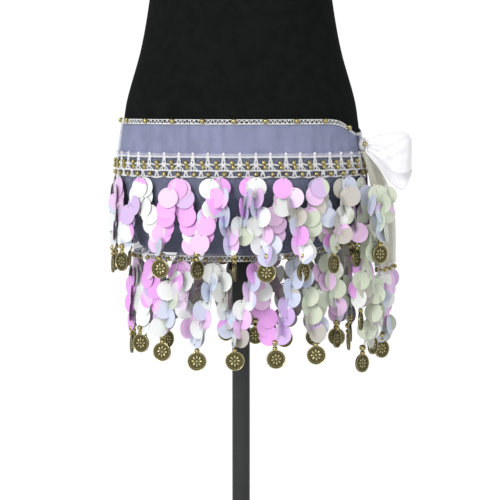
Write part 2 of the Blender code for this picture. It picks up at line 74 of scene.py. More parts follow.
# %% [markdown]
# ## Floor and light
# A costume seller shows such a scarf against white, with soft light from the front and left. The world is
# white where it is seen and lights the scarf a little less, which keeps the shadows between the paillettes.
# Two large area lights in front do the rest, and give gold and pearl their glints.

# %% Pale floor, white surroundings and two soft lights
bpy.context.scene.view_settings.view_transform = "Standard"
ROOM_LIGHT = 0.62
SEEN_WHITE = 1.02

world = bpy.data.worlds.new("white_studio")
world.use_nodes = True
world_nodes = world.node_tree.nodes
world_nodes["Background"].inputs["Color"].default_value = (1, 1, 1, 1)
ray = world_nodes.new("ShaderNodeLightPath")
strength = world_nodes.new("ShaderNodeMapRange")
strength.inputs["To Min"].default_value = ROOM_LIGHT
strength.inputs["To Max"].default_value = SEEN_WHITE
world.node_tree.links.new(ray.outputs["Is Camera Ray"], strength.inputs["Value"])
world.node_tree.links.new(strength.outputs["Result"], world_nodes["Background"].inputs["Strength"])
bpy.context.scene.world = world

LIGHTS_AIM_AT = Vector((0, 0, 0.95))


def soft_light(name, place, size, power):
    """A square area light that faces the hips."""
    bpy.ops.object.light_add(type="AREA", location=place)
    light = bpy.context.object
    light.name = name
    light.data.size = size
    light.data.energy = power
    light.rotation_euler = (LIGHTS_AIM_AT - light.location).to_track_quat("-Z", "Y").to_euler()


soft_light("key_light", place=(-1.4, -2.2, 2.1), size=1.0, power=36)
soft_light("side_light", place=(1.6, -2.1, 1.3), size=1.0, power=5)

bpy.ops.mesh.primitive_plane_add(size=5)
floor = bpy.context.object
floor.name = "floor"
floor_paint = bpy.data.materials.new("pale_floor")
floor_paint.use_nodes = True
floor_shader = floor_paint.node_tree.nodes["Principled BSDF"]
floor_shader.inputs["Base Color"].default_value = (0.95, 0.95, 0.95, 1)
floor_shader.inputs["Roughness"].default_value = 0.9
floor.data.materials.append(floor_paint)
print("stage set:", floor.name)

# %% [markdown]
# ## Where the cloth lies
# Everything on this scarf follows the hips, so it pays to have one function that turns a distance along
# the scarf, a height and a stand-off into a point. The form is a stack of rounded sections, as in the
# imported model, and the scarf is measured from the knot, across the front first.

# %% The form's surface
Section = namedtuple("Section", "z half_width front back")
FORM_SECTIONS = [
    Section(0.8715, 0.1150, 0.0785, 0.0885),
    Section(0.878, 0.1240, 0.0854, 0.0955),
    Section(0.890, 0.1270, 0.0878, 0.0980),
    Section(0.902, 0.1335, 0.0930, 0.1040),
    Section(0.930, 0.1435, 0.1005, 0.1120),
    Section(0.965, 0.1485, 0.1045, 0.1160),
    Section(0.992, 0.1467, 0.1045, 0.1140),
    Section(1.022, 0.1430, 0.1045, 0.1080),
    Section(1.053, 0.1382, 0.1030, 0.1000),
    Section(1.114, 0.1212, 0.0970, 0.0850),
    Section(1.175, 0.1104, 0.0890, 0.0770),
    Section(1.200, 0.1092, 0.0875, 0.0760),
    Section(1.240, 0.1128, 0.0885, 0.0790),
    Section(1.300, 0.1220, 0.0940, 0.0880),
    Section(1.360, 0.1330, 0.0980, 0.0970),
    Section(1.420, 0.1430, 0.0960, 0.1030),
    Section(1.465, 0.1540, 0.0880, 0.1020),
    Section(1.500, 0.1610, 0.0770, 0.0940),
    Section(1.528, 0.1530, 0.0660, 0.0800),
    Section(1.548, 0.1220, 0.0570, 0.0680),
    Section(1.566, 0.0830, 0.0510, 0.0570),
    Section(1.584, 0.0600, 0.0480, 0.0500),
    Section(1.610, 0.0530, 0.0470, 0.0480),
    Section(1.640, 0.0515, 0.0465, 0.0475),
]
ROUNDNESS = 2.25
HIPS_Z = 0.965
SKIRT_HANGS_FROM = 0.893
BUST_Z = 1.372
BUST_HEIGHT = 0.058
BUST_DEPTH = 0.030
BUST_TURN = math.radians(33)
BUST_SPREAD = math.radians(27)


def along_table(rows, key, value, column):
    """A column of a table where its key column has this value, on a smooth curve through its rows."""
    keys = [getattr(row, key) for row in rows]
    value = min(max(value, keys[0]), keys[-1])
    high = min(max(bisect.bisect_right(keys, value), 1), len(rows) - 1)
    low = high - 1

    def slope(k):
        before, after = max(k - 1, 0), min(k + 1, len(rows) - 1)
        return (getattr(rows[after], column) - getattr(rows[before], column)) / (keys[after] - keys[before])

    span = keys[high] - keys[low]
    t = (value - keys[low]) / span
    start, end = getattr(rows[low], column), getattr(rows[high], column)
    bend = (2 * t**3 - 3 * t**2 + 1) * start + (3 * t**2 - 2 * t**3) * end
    return bend + span * ((t**3 - 2 * t**2 + t) * slope(low) + (t**3 - t**2) * slope(high))


def form_point(angle, z):
    """The form's surface at an angle from +X, counter-clockwise from above."""
    across, deep = math.cos(angle), math.sin(angle)
    power = 2 / ROUNDNESS
    depth = along_table(FORM_SECTIONS, "z", z, "back" if deep > 0 else "front")
    x = math.copysign(abs(across) ** power, across) * along_table(FORM_SECTIONS, "z", z, "half_width")
    y = math.copysign(abs(deep) ** power, deep) * depth
    level = math.exp(-(((z - BUST_Z) / BUST_HEIGHT) ** 2))
    for side in (-1, 1):
        turn = math.remainder(angle - (side * BUST_TURN - math.pi / 2), math.tau)
        y -= BUST_DEPTH * level * math.exp(-((turn / BUST_SPREAD) ** 2))
    return Vector((x, y, z))


KNOT_ANGLE = math.radians(-20)
GIRTH_STEPS = 720
TURNS = [KNOT_ANGLE - math.tau * k / GIRTH_STEPS for k in range(GIRTH_STEPS + 1)]
hip_line = [form_point(turn, HIPS_Z) for turn in TURNS]
LENGTHS = [0.0]
for before, after in zip(hip_line, hip_line[1:]):
    LENGTHS.append(LENGTHS[-1] + (after - before).length)
GIRTH = LENGTHS[-1]
FRONT = LENGTHS[min(range(len(TURNS)), key=lambda k: abs(TURNS[k] + math.pi / 2))]
FAR_SIDE = LENGTHS[min(range(len(TURNS)), key=lambda k: abs(TURNS[k] + math.pi))]
print("hip girth:", round(GIRTH * 1000), "mm")

# %% A place on the scarf
# Outwards is level and square to the cloth.
Place = namedtuple("Place", "point outwards")
KNOT_Z = 1.0000
TOP_EDGE_Z = 1.0240
FOLD_HEM_Z = 0.9868
LATTICE_LOW_Z = 0.9632
HEM_Z = 0.8700
DRAWN_DOWN_SHARE = 0.56
DRAWN_DOWN_REACH = 0.024
DRAWN_DOWN_BEHIND = 0.100
HEM_LIFT = 0.0140
HEM_LIFT_REACH = 0.080
SLIT = 0.0030
SCARF_START = SLIT / 2
SCARF_END = GIRTH - SLIT / 2
PANEL_OUT = 0.0006
BAND_OUT = 0.0020
TIER_ONE_OUT = 0.0027


def angle_at(along):
    along %= GIRTH
    high = min(max(bisect.bisect_right(LENGTHS, along), 1), len(LENGTHS) - 1)
    t = (along - LENGTHS[high - 1]) / (LENGTHS[high] - LENGTHS[high - 1])
    return TURNS[high - 1] + t * (TURNS[high] - TURNS[high - 1])


def skin_place(along, z, out, hangs_from=SKIRT_HANGS_FROM):
    """A place that stands out from the form. Below hangs_from it hangs straight down."""
    angle = angle_at(along)
    level = max(z, hangs_from)
    small_turn = 0.01
    tangent = form_point(angle + small_turn, level) - form_point(angle - small_turn, level)
    outwards = Vector((tangent.y, -tangent.x, 0)).normalized()
    point = form_point(angle, level) + outwards * out
    return Place(Vector((point.x, point.y, z)), outwards)


def tied_height(along, z):
    """Height of a scarf point once the knot has drawn the top edge down and lifted the hem beside it."""
    along %= GIRTH
    away = min(along, GIRTH - along)
    if z > KNOT_Z:
        reach = DRAWN_DOWN_REACH if along < GIRTH / 2 else DRAWN_DOWN_BEHIND
        return z - DRAWN_DOWN_SHARE * (z - KNOT_Z) * math.exp(-((away / reach) ** 2))
    lift = min(max((SKIRT_HANGS_FROM - z) / (SKIRT_HANGS_FROM - HEM_Z), 0), 1)
    return z + HEM_LIFT * lift * math.exp(-((away / HEM_LIFT_REACH) ** 2))


def scarf_place(along, z, out):
    return skin_place(along, tied_height(along, z), out)


print("front of the scarf at", round(FRONT * 1000), "mm from the knot")

# %% [markdown]
# ## Tools used for nearly every piece
# A cloth, a coin and a paillette are all sheets with a shape, so one helper adds a grid, lays its points
# where a function says, and merges what meets. Another thickens an open sheet outwards with Solidify, because
# real cloth has two faces and an edge that catches the light. A third gives a piece its finish and fixes it
# to the part's one body.

# %% Laying, thickening and dressing
MERGE = 0.00001


def select_only(thing):
    bpy.ops.object.select_all(action="DESELECT")
    thing.select_set(True)
    bpy.context.view_layer.objects.active = thing


def close_up(thin_faces=False):
    """Merges those points of the active piece that meet, and turns its faces outwards."""
    bpy.ops.object.mode_set(mode="EDIT")
    bpy.ops.mesh.select_all(action="SELECT")
    bpy.ops.mesh.remove_doubles(threshold=MERGE)
    if thin_faces:
        bpy.ops.mesh.dissolve_degenerate(threshold=MERGE)
    bpy.ops.mesh.normals_make_consistent(inside=False)
    bpy.ops.object.mode_set(mode="OBJECT")


def lay_grid(name, columns, rows, place, closed=False):
    """A grid whose points lie at place(u, v), with u and v from 0 to 1. A closed one is merged."""
    bpy.ops.object.select_all(action="DESELECT")
    bpy.ops.mesh.primitive_grid_add(x_subdivisions=columns, y_subdivisions=rows, size=1)
    sheet = bpy.context.object
    sheet.name = sheet.data.name = name
    for vert in sheet.data.vertices:
        vert.co = place(vert.co.x + 0.5, vert.co.y + 0.5)
    if closed:
        close_up(thin_faces=True)
    bpy.ops.object.shade_smooth()
    return sheet


def thicken(sheet, wall):
    """Gives an open sheet a wall outwards."""
    select_only(sheet)
    bpy.ops.object.modifier_add(type="SOLIDIFY")
    solidify = sheet.modifiers[-1]
    solidify.thickness = wall
    solidify.offset = 1.0
    solidify.use_even_offset = True
    bpy.ops.object.modifier_apply(modifier=solidify.name)
    return sheet


def dress(piece, finish, slot, *packed):
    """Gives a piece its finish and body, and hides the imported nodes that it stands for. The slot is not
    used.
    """
    piece.data.materials.append(finish)
    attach(piece, "root")
    if packed:
        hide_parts(*packed)
    return piece


def triangles(piece):
    return sum(len(face.vertices) - 2 for face in piece.data.polygons)


print("points within", MERGE * 1000, "mm of each other are merged")

# %% [markdown]
# ## Building a finish from nodes
# Each finish is a Principled shader. Values that are the same all over sit on its own sockets, and what
# varies over the surface, such as fibres, folds and worn metal, is drawn by noise on object coordinates.

# %% Small helpers for node trees


def new_finish(name, **values):
    """A Principled material. Socket names are given in lower case with underscores."""
    material = bpy.data.materials.new(name)
    material.use_nodes = True
    shader = material.node_tree.nodes["Principled BSDF"]
    by_name = {socket.name.lower().replace(" ", "_"): socket for socket in shader.inputs}
    for socket, value in values.items():
        by_name[socket].default_value = value
    return material


def add_node(material, kind, **values):
    node = material.node_tree.nodes.new(kind)
    by_name = {socket.name.lower().replace(" ", "_"): socket for socket in reversed(node.inputs)}
    for socket, value in values.items():
        if socket in by_name:
            by_name[socket].default_value = value
        else:
            setattr(node, socket, value)
    return node


def link(material, output, target):
    material.node_tree.links.new(output, target)


def drive(material, socket, output):
    """Lets a node's output set one socket of the finish."""
    link(material, output, material.node_tree.nodes["Principled BSDF"].inputs[socket])


def object_noise(material, scale, stretch=(1, 1, 1), detail=3.0):
    """Noise with about scale blobs a metre, squeezed or drawn out along the axes."""
    place = add_node(material, "ShaderNodeTexCoord")
    mapping = add_node(material, "ShaderNodeMapping", scale=stretch)
    noise = add_node(material, "ShaderNodeTexNoise", scale=scale, detail=detail)
    link(material, place.outputs["Object"], mapping.inputs["Vector"])
    link(material, mapping.outputs["Vector"], noise.inputs["Vector"])
    return noise.outputs["Fac"]


def blend_colours(material, share, first, second, low=0.35, high=0.65):
    """A colour that goes from first to second as share goes from low to high."""
    ramp = add_node(material, "ShaderNodeValToRGB")
    ramp.color_ramp.elements[0].position = low
    ramp.color_ramp.elements[0].color = (*first, 1)
    ramp.color_ramp.elements[1].position = high
    ramp.color_ramp.elements[1].color = (*second, 1)
    link(material, share, ramp.inputs["Fac"])
    return ramp.outputs["Color"]


def blend_values(material, share, first, second, low=0.35, high=0.65):
    """A number that goes from first to second as share goes from low to high."""
    spread = add_node(
        material, "ShaderNodeMapRange", from_min=low, from_max=high, to_min=first, to_max=second
    )
    link(material, share, spread.inputs["Value"])
    return spread.outputs["Result"]


def add_bump(material, height, strength, distance):
    bump = add_node(material, "ShaderNodeBump", strength=strength, distance=distance)
    link(material, height, bump.inputs["Height"])
    drive(material, "Normal", bump.outputs["Normal"])


print("finish helpers ready")

# %% [markdown]
# ## Black form and stand
# The form is covered in matte black stretch jersey with next to no shine. Its knit is far finer than a
# pixel, so it is a low bump. The stand is black powder coat, rubbed to grey where the pole has been moved.

# %% Jersey and powder coat
jersey = new_finish(
    "black_jersey",
    base_color=(0.0085, 0.0092, 0.0092, 1),
    roughness=0.95,
    specular_ior_level=0.06,
)
pilling = object_noise(jersey, 70)
tone = blend_colours(jersey, pilling, (0.0068, 0.0074, 0.0074), (0.0092, 0.0100, 0.0098))
drive(jersey, "Base Color", tone)
knit = object_noise(jersey, 900, stretch=(1, 1, 0.4), detail=2.0)
add_bump(jersey, knit, strength=0.25, distance=0.0006)

powder_coat = new_finish(
    "powder_coat",
    base_color=(0.02, 0.021, 0.022, 1),
    roughness=0.5,
    specular_ior_level=0.25,
)
rubbed = object_noise(powder_coat, 14, stretch=(1, 1, 0.35), detail=5.0)
coat_tone = blend_colours(powder_coat, rubbed, (0.020, 0.022, 0.022), (0.052, 0.056, 0.055), 0.3, 0.7)
drive(powder_coat, "Base Color", coat_tone)
orange_peel = object_noise(powder_coat, 700, detail=1.0)
add_bump(powder_coat, orange_peel, strength=0.15, distance=0.0004)

STAND_PIECES = ("stand_base", "stand_pole", "form_socket", "neck_cap")
for name in STAND_PIECES:
    node = nodes[name]
    node.data.materials.clear()
    node.data.materials.append(powder_coat)
print("stand pieces coated:", len(STAND_PIECES))

# %% [markdown]
# ## The form's torso
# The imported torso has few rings. Here a fine grid is wrapped round the same sections, its seam is merged
# and its underside and neck are filled, which gives the smooth padded outline of a real form.

# %% A smooth torso
FORM_COLUMNS = 144
FORM_RINGS = 130


def torso_point(u, v):
    low, top = FORM_SECTIONS[0].z, FORM_SECTIONS[-1].z
    return form_point(KNOT_ANGLE - math.tau * u, top + (low - top) * v)


torso = lay_grid("form_cover", FORM_COLUMNS, FORM_RINGS, torso_point, closed=True)
bpy.ops.object.mode_set(mode="EDIT")
bpy.ops.mesh.select_all(action="SELECT")
bpy.ops.mesh.fill_holes(sides=0)
bpy.ops.mesh.normals_make_consistent(inside=False)
bpy.ops.object.mode_set(mode="OBJECT")
bpy.ops.object.shade_smooth_by_angle(angle=math.radians(50))
dress(torso, jersey, "form_black", "form_torso")
print("torso triangles:", triangles(torso))

# %% [markdown]
# ## Sheer chiffon
# One layer of white chiffon hides about a third of what is behind it, and over black it looks blue grey,
# because fine white threads scatter blue light most. The double layer of the fold needs no finish of its
# own: the two layers add up. The gathered cloth of the bow is nearly solid white, and its layers hand light
# on to each other, which a weak glow stands in for.

# %% Chiffon finishes


def make_chiffon(name, colour, shade, opacity, crease_scale, **glow):
    """Sheer cloth. The opacity is for one face, and a layer of cloth has two."""
    cloth = new_finish(
        name,
        base_color=(*colour, 1),
        roughness=0.75,
        specular_ior_level=0.2,
        sheen_weight=0.15,
        sheen_roughness=0.5,
        alpha=opacity,
        **glow,
    )
    # Streaks drawn out along the folds blend the colour to shade: painted shade in the creases. The opacity
    # varies with them.
    streaks = object_noise(cloth, 110, stretch=(1, 1, crease_scale), detail=4.0)
    drive(cloth, "Base Color", blend_colours(cloth, streaks, shade, colour, 0.35, 0.62))
    drive(cloth, "Alpha", blend_values(cloth, streaks, opacity * 0.88, opacity * 1.12))
    weave = object_noise(cloth, 900, stretch=(1, 1, 0.3), detail=1.0)
    add_bump(cloth, weave, strength=0.06, distance=0.0003)
    return cloth


sheer_chiffon = make_chiffon("sheer_chiffon", (0.57, 0.61, 0.90), (0.51, 0.55, 0.81), 0.19, 0.25)
gathered_chiffon = make_chiffon(
    "gathered_chiffon",
    (0.97, 0.97, 0.99),
    (0.93, 0.93, 0.96),
    0.84,
    0.35,
    emission_color=(0.97, 0.96, 1.0, 1),
    emission_strength=0.10,
)
# The knot's grey is painted shade: the dark crevice where the ends are tied. Its cloth is nearly opaque, as
# tight cloth is.
tight_chiffon = make_chiffon("tight_chiffon", (0.68, 0.67, 0.69), (0.40, 0.39, 0.39), 0.90, 1.0)
# The tail's beige grey is painted shade: the form's shade on layered cloth, painted into its colour.
shaded_chiffon = make_chiffon("shaded_chiffon", (0.80, 0.79, 0.69), (0.68, 0.66, 0.58), 0.60, 0.35)
print("chiffon finishes: sheer, gathered, tight and shaded")

# %% [markdown]
# ## The panel and the folded band
# The panel hangs from the top edge to the hem in one layer, close round the hips, with soft upright folds
# that open towards the hem. The band is the same cloth folded over outwards, and its slack shows as faint
# slanting ripples. Each is a fine grid laid on the hips, with its ripples added to the stand-off.

# %% Ripples and the two round cloths
CHIFFON_WALL = 0.0004
CLOTH_COLUMNS = 300
PANEL_ROWS = 30
BAND_ROWS = 12
cloth_luck = random.Random(3)
Ripple = namedtuple("Ripple", "waves phase slant share")


def draw_ripples(counts, slants):
    """One ripple for each count of waves round the hips, the fewer the deeper."""
    return [
        Ripple(waves, cloth_luck.uniform(0, math.tau), cloth_luck.uniform(*slants), 1 / waves**0.5)
        for waves in counts
    ]


PANEL_RIPPLES = draw_ripples((17, 23, 31, 44), (-60, 60))
BAND_RIPPLES = draw_ripples((29, 41, 58, 77), (250, 600))


def ripple(ripples, along, z):
    """A smooth wavy value between about 0 and 1 round the hips."""
    total = sum(r.share for r in ripples)
    turn = math.tau * along / GIRTH
    waves = sum(r.share * math.sin(r.waves * turn + r.slant * z + r.phase) for r in ripples)
    return 0.5 + 0.5 * waves / total


GATHER_DEPTH = 0.0040
GATHER_REACH = 0.016
GATHER_RIDGES = 11
GATHER_PHASE = 1.1


def knot_gather(along, z):
    """How far the cloth stands out in the small ridges that run to the knot."""
    aside = along if along < GIRTH / 2 else along - GIRTH
    away = math.hypot(aside, z - KNOT_Z)
    ridge = 0.5 + 0.5 * math.sin(GATHER_RIDGES * math.atan2(z - KNOT_Z, aside) + GATHER_PHASE)
    return GATHER_DEPTH * ridge * math.exp(-away / GATHER_REACH)


def round_cloth(name, rows, high, low, out, depth_at, ripples):
    """Cloth from the slit round the hips and back to the slit."""

    def place(u, v):
        along = SCARF_START + (SCARF_END - SCARF_START) * u
        z = high + (low - high) * v
        stand_off = out + depth_at(z) * ripple(ripples, along, z) + knot_gather(along, z)
        return scarf_place(along, z, stand_off).point

    return thicken(lay_grid(name, CLOTH_COLUMNS, rows, place), CHIFFON_WALL)


print("ripples of the panel and the band:", len(PANEL_RIPPLES), "and", len(BAND_RIPPLES))

# %% Panel, band and the band's hem
FOLDS_FROM_Z = 0.955
PRESSED_FOLD = 0.0004
OPEN_FOLD = 0.0030
BAND_RIPPLE = 0.0009


def panel_depth(z):
    """Folds are pressed flat under the lace, and open below the hips."""
    below = max(0.0, (FOLDS_FROM_Z - z) / (FOLDS_FROM_Z - HEM_Z))
    return PRESSED_FOLD + OPEN_FOLD * below**1.3


def band_depth(z):
    """The band's ripples are as deep all the way down."""
    return BAND_RIPPLE


panel = round_cloth("scarf_panel", PANEL_ROWS, TOP_EDGE_Z, HEM_Z, PANEL_OUT, panel_depth, PANEL_RIPPLES)
dress(panel, sheer_chiffon, "white_chiffon", "chiffon_panel")
band = round_cloth("folded_band", BAND_ROWS, TOP_EDGE_Z, FOLD_HEM_Z, BAND_OUT, band_depth, BAND_RIPPLES)
dress(band, sheer_chiffon, "white_chiffon", "upper_band")

# The fold's edge is turned in and stitched down, so its lowest 4 mm are thicker and whiter
TURN_HIGH_Z = FOLD_HEM_Z + 0.0040
TURN_LOW_Z = FOLD_HEM_Z - 0.0004
TURN_OUT = BAND_OUT + 0.0008
TURN_ROWS = 3
turned_hem = make_chiffon("turned_hem", (0.86, 0.87, 0.98), (0.74, 0.76, 0.92), 0.24, 0.25)
band_hem = round_cloth("band_hem", TURN_ROWS, TURN_HIGH_Z, TURN_LOW_Z, TURN_OUT, band_depth, BAND_RIPPLES)
dress(band_hem, turned_hem, "white_chiffon")
print("panel, band and hem triangles:", triangles(panel), triangles(band), triangles(band_hem))

# %% [markdown]
# ## Crochet
# Every white line on the scarf is crocheted yarn: a chain of loops that looks like two plies wound round
# each other. Modelling each loop would cost thousands of faces a hand's breadth. Two thin curves that wind
# round one line read the same from arm's length, and a curve's bevel gives them their thickness.

# %% Cotton
cotton = new_finish(
    "white_cotton",
    base_color=(0.93, 0.93, 0.93, 1),
    roughness=0.9,
    specular_ior_level=0.15,
    sheen_weight=0.2,
)
cotton_tone = blend_colours(cotton, object_noise(cotton, 250), (0.84, 0.84, 0.86), (0.96, 0.96, 0.96))
drive(cotton, "Base Color", cotton_tone)
fuzz = object_noise(cotton, 1500, detail=2.0)
add_bump(cotton, fuzz, strength=0.4, distance=0.0003)
print("yarn finish:", cotton.name)

# %% Yarn wound along a line
# Two plies of radius ply wind round a line at radius wind, and cross at every stitch.
Yarn = namedtuple("Yarn", "ply wind stitch", defaults=(0.0026,))
YARN_STEP = 0.00075
PLY_RISE = 0.7


def even_steps(line, step):
    """Points and outward directions at even steps along a line of places."""
    points = np.array([place.point for place in line])
    outwards = np.array([place.outwards for place in line])
    reach = np.concatenate([[0.0], np.cumsum(np.linalg.norm(np.diff(points, axis=0), axis=1))])
    stations = np.linspace(0, reach[-1], max(3, round(reach[-1] / step) + 1))
    spread = [np.interp(stations, reach, column) for column in (*points.T, *outwards.T)]
    return stations, np.array(spread[:3]).T, np.array(spread[3:]).T


def round_yarn(name, paths, radius):
    """Round yarn, or a rolled edge, of one radius along each path of points."""
    curve = bpy.data.curves.new(name, "CURVE")
    curve.dimensions = "3D"
    curve.bevel_depth = radius
    curve.bevel_resolution = 0
    curve.use_fill_caps = True
    for path in paths:
        spline = curve.splines.new("POLY")
        spline.points.add(len(path) - 1)
        spline.points.foreach_set("co", np.column_stack([path, np.ones(len(path))]).ravel())
    yarn = bpy.data.objects.new(name, curve)
    bpy.context.collection.objects.link(yarn)
    select_only(yarn)
    bpy.ops.object.convert(target="MESH")
    close_up()
    bpy.ops.object.shade_smooth()
    return bpy.context.object


def crochet(name, lines, yarn, *packed):
    """Crocheted chains along lines of places."""
    paths = []
    for line in lines:
        stations, points, outwards = even_steps(line, YARN_STEP)
        sideways = np.cross(np.gradient(points, axis=0), outwards)
        sideways /= np.linalg.norm(sideways, axis=1)[:, None] + 1e-9
        turn = math.pi * stations[:, None] / yarn.stitch
        for start in (0, math.pi):
            swing = np.cos(turn + start) * sideways + PLY_RISE * np.sin(2 * turn + start) * outwards
            paths.append(points + yarn.wind * swing)
    return dress(round_yarn(name, paths, yarn.ply), cotton, "white_crochet", *packed)


LACE_YARN = Yarn(0.00060, 0.00066)
THREAD = Yarn(0.00042, 0.00042)
TOP_YARN = Yarn(0.00048, 0.00045)
HEM_YARN = Yarn(0.00045, 0.00042)
LOOP_YARN = Yarn(0.00032, 0.00030)
print("lace yarn: a stitch every", LACE_YARN.stitch * 1000, "mm")

# %% [markdown]
# ## Small things that repeat
# Beads, coins and paillettes are each modelled once. Hundreds of objects would be slow to handle, so the
# copies are joined: one mesh takes the model's points again and again, each time through a matrix.

# %% Joining copies of one model
Copy = namedtuple("Copy", "matrix turn tint second_tint", defaults=(0.0, None, None))


def join_copies(name, model, copies, width):
    """One mesh of all the copies.

    Its UV map is each copy's own face. Relief is how proud a point is of either face, and front is above
    zero on the front face only.
    """
    base = np.empty(len(model.data.vertices) * 3)
    model.data.vertices.foreach_get("co", base)
    base = base.reshape(-1, 3)
    faces = [tuple(face.vertices) for face in model.data.polygons]
    corners = np.array([corner for face in faces for corner in face])
    points, turned, all_faces = [], [], []
    for k, copy in enumerate(copies):
        matrix = np.array(copy.matrix)
        points.append(base @ matrix[:3, :3].T + matrix[:3, 3])
        cos, sin = math.cos(copy.turn), math.sin(copy.turn)
        turned.append((base[:, :2] @ np.array([[cos, sin], [-sin, cos]]) / width + 0.5)[corners])
        all_faces += [tuple(corner + k * len(base) for corner in face) for face in faces]
    mesh = bpy.data.meshes.new(name)
    mesh.from_pydata(np.concatenate(points).tolist(), [], all_faces)
    mesh.uv_layers.new(name="face_map").data.foreach_set("uv", np.concatenate(turned).ravel())
    height = base[:, 2] / np.abs(base[:, 2]).max()
    for layer, values in (("relief", np.abs(height)), ("front", height)):
        mesh.attributes.new(layer, "FLOAT", "POINT").data.foreach_set("value", np.tile(values, len(copies)))
    # A second tint for each copy carries the paillettes' painted sheen.
    for layer, pick in (("tint", lambda c: c.tint), ("second_tint", lambda c: c.second_tint)):
        if copies[0].tint:
            colours = np.repeat([(*pick(copy), 1.0) for copy in copies], len(base), axis=0)
            mesh.attributes.new(layer, "FLOAT_COLOR", "POINT").data.foreach_set("color", colours.ravel())
    piece = bpy.data.objects.new(name, mesh)
    bpy.context.collection.objects.link(piece)
    return piece


def standing(place, size=1.0, turn=0.0, lean=0.0, roll=0.0, drop=0.0):
    """A matrix for something flat that hangs at a place and faces outwards.

    Turn is about the upright, lean swings its foot outwards, and roll swings it sideways. Its centre is
    drop below the place, along its own height.
    """
    up = Vector((0, 0, 1))
    across = up.cross(place.outwards)
    facing = Matrix((across, up, place.outwards)).transposed().to_4x4()
    swing = (
        Matrix.Rotation(math.radians(turn), 4, "Y")
        @ Matrix.Rotation(math.radians(-lean), 4, "X")
        @ Matrix.Rotation(math.radians(roll), 4, "Z")
    )
    hang = Matrix.Translation((0, -drop, 0))
    return Matrix.Translation(place.point) @ facing @ swing @ hang @ Matrix.Scale(size, 4)


print("copies keep their own face map, relief and tints")

# %% [markdown]
# ## Gold beads
# A bead is a ball with a bore through it, so it starts as a torus with a small hole and is drawn out
# along its axis. It is modelled one metre across and scaled down at each place.

# %% One bead, and its finish
old_gold = new_finish("old_gold", base_color=(0.5, 0.42, 0.18, 1), metallic=1.0, roughness=0.2)
tarnish = object_noise(old_gold, 500)
gold_tone = blend_colours(old_gold, tarnish, (0.34, 0.28, 0.10), (0.64, 0.56, 0.27))
drive(old_gold, "Base Color", gold_tone)
drive(old_gold, "Roughness", blend_values(old_gold, tarnish, 0.30, 0.14))

bpy.ops.object.select_all(action="DESELECT")
bpy.ops.mesh.primitive_torus_add(
    major_radius=0.28, minor_radius=0.22, major_segments=10, minor_segments=7, rotation=(0, 0, 0)
)
bead_model = bpy.context.object
bead_model.name = "bead_model"
bpy.ops.object.mode_set(mode="EDIT")
bpy.ops.mesh.select_all(action="SELECT")
bpy.ops.transform.resize(value=(1, 1, 1.9))
bpy.ops.object.mode_set(mode="OBJECT")


def beads(places, diameter):
    """Copies of the bead threaded sideways, with their bores along the chain."""
    threaded = Matrix.Rotation(math.pi / 2, 4, "Y")
    return [Copy(standing(place) @ threaded @ Matrix.Scale(diameter, 4)) for place in places]


def finish_beads(name, copies, finish=old_gold, slot="antique_gold"):
    piece = join_copies(name, bead_model, copies, 1.0)
    select_only(piece)
    bpy.ops.object.shade_smooth()
    return dress(piece, finish, slot)


print("bead triangles:", triangles(bead_model))

# %% [markdown]
# ## Lace band
# Below the folded band sits a crocheted lace in three rows. Short bars hang from the fold's stitched hem to
# a beaded chain, slanting threads cross in the narrow row below it, and a second row of bars, half a repeat
# aside, ends in the bottom chain, which carries the fringe. Each line is laid on the hips as a list of
# places, and one call winds yarn along all of them.

# %% Lines of the lace
LACE_REPEATS = 46
LACE_OUT = 0.0032
SWAY = 0.06
SAG_SPREAD = (0.4, 1.6)
LINE_STEPS = 8
THREAD_STEPS = 4
repeat = (SCARF_END - SCARF_START) / LACE_REPEATS
lace_luck = random.Random(5)
sway = [lace_luck.uniform(-SWAY, SWAY) for _ in range(2 * LACE_REPEATS + 4)]


def lace_place(step, z, out=LACE_OUT):
    """A place on the lace, by its number of repeats from the slit."""
    along = min(max(SCARF_START + step * repeat, SCARF_START), SCARF_END)
    return scarf_place(along, z, out)


def lace_chain(z, sag=0.0, out=LACE_OUT):
    """A chain all round, which sags a little between its bars."""
    sags = [sag * lace_luck.uniform(*SAG_SPREAD) for _ in range(LACE_REPEATS + 1)]
    line = []
    for k in range(LACE_REPEATS * LINE_STEPS + 1):
        step = k / LINE_STEPS
        line.append(lace_place(step, z - sags[int(step)] * math.sin(math.pi * (step % 1)) ** 2, out))
    return line


def lace_thread(start, high, end, low):
    shares = [k / THREAD_STEPS for k in range(THREAD_STEPS + 1)]
    return [lace_place(start + (end - start) * share, high + (low - high) * share) for share in shares]


def lace_foot(step, high, low, spread):
    """A bar of two threads that lie together at the top and part towards their feet."""
    top = step + sway[round(2 * step)]
    return [lace_thread(top, high, top + side * spread, low) for side in (-1, 1)]


print("lace repeats:", LACE_REPEATS, "of", round(repeat * 1000, 1), "mm")

# %% Chains, bars and crossing threads
LaceRow = namedtuple("LaceRow", "z sag")
STITCHED_ROW = LaceRow(0.9868, 0.0004)
FIRST_ROW = LaceRow(0.9783, 0.0009)
SECOND_ROW = LaceRow(0.9709, 0.0005)
BOTTOM_ROW = LaceRow(0.9638, 0.0010)
KNOBS_Z = 0.9902
CROSSING_START_Z = FIRST_ROW.z - 0.0005

lace_lines = [lace_chain(*row) for row in (STITCHED_ROW, FIRST_ROW, SECOND_ROW, BOTTOM_ROW)]
fine_lines = []
for k in range(LACE_REPEATS + 1):
    lace_lines += lace_foot(k, KNOBS_Z, FIRST_ROW.z, spread=0.10)
    fine_lines += lace_foot(k, FIRST_ROW.z, SECOND_ROW.z, spread=0.34)
    fine_lines += lace_foot(k, CROSSING_START_Z, SECOND_ROW.z, spread=0.14)
for k in range(LACE_REPEATS):
    lace_lines += lace_foot(k + 0.5, SECOND_ROW.z, BOTTOM_ROW.z, spread=0.12)

lace_fine = crochet("lace_threads", fine_lines, THREAD)
lace = crochet("lace_band", lace_lines, LACE_YARN, "lattice_front", "lattice_back")
print("lace triangles:", triangles(lace), triangles(lace_fine))

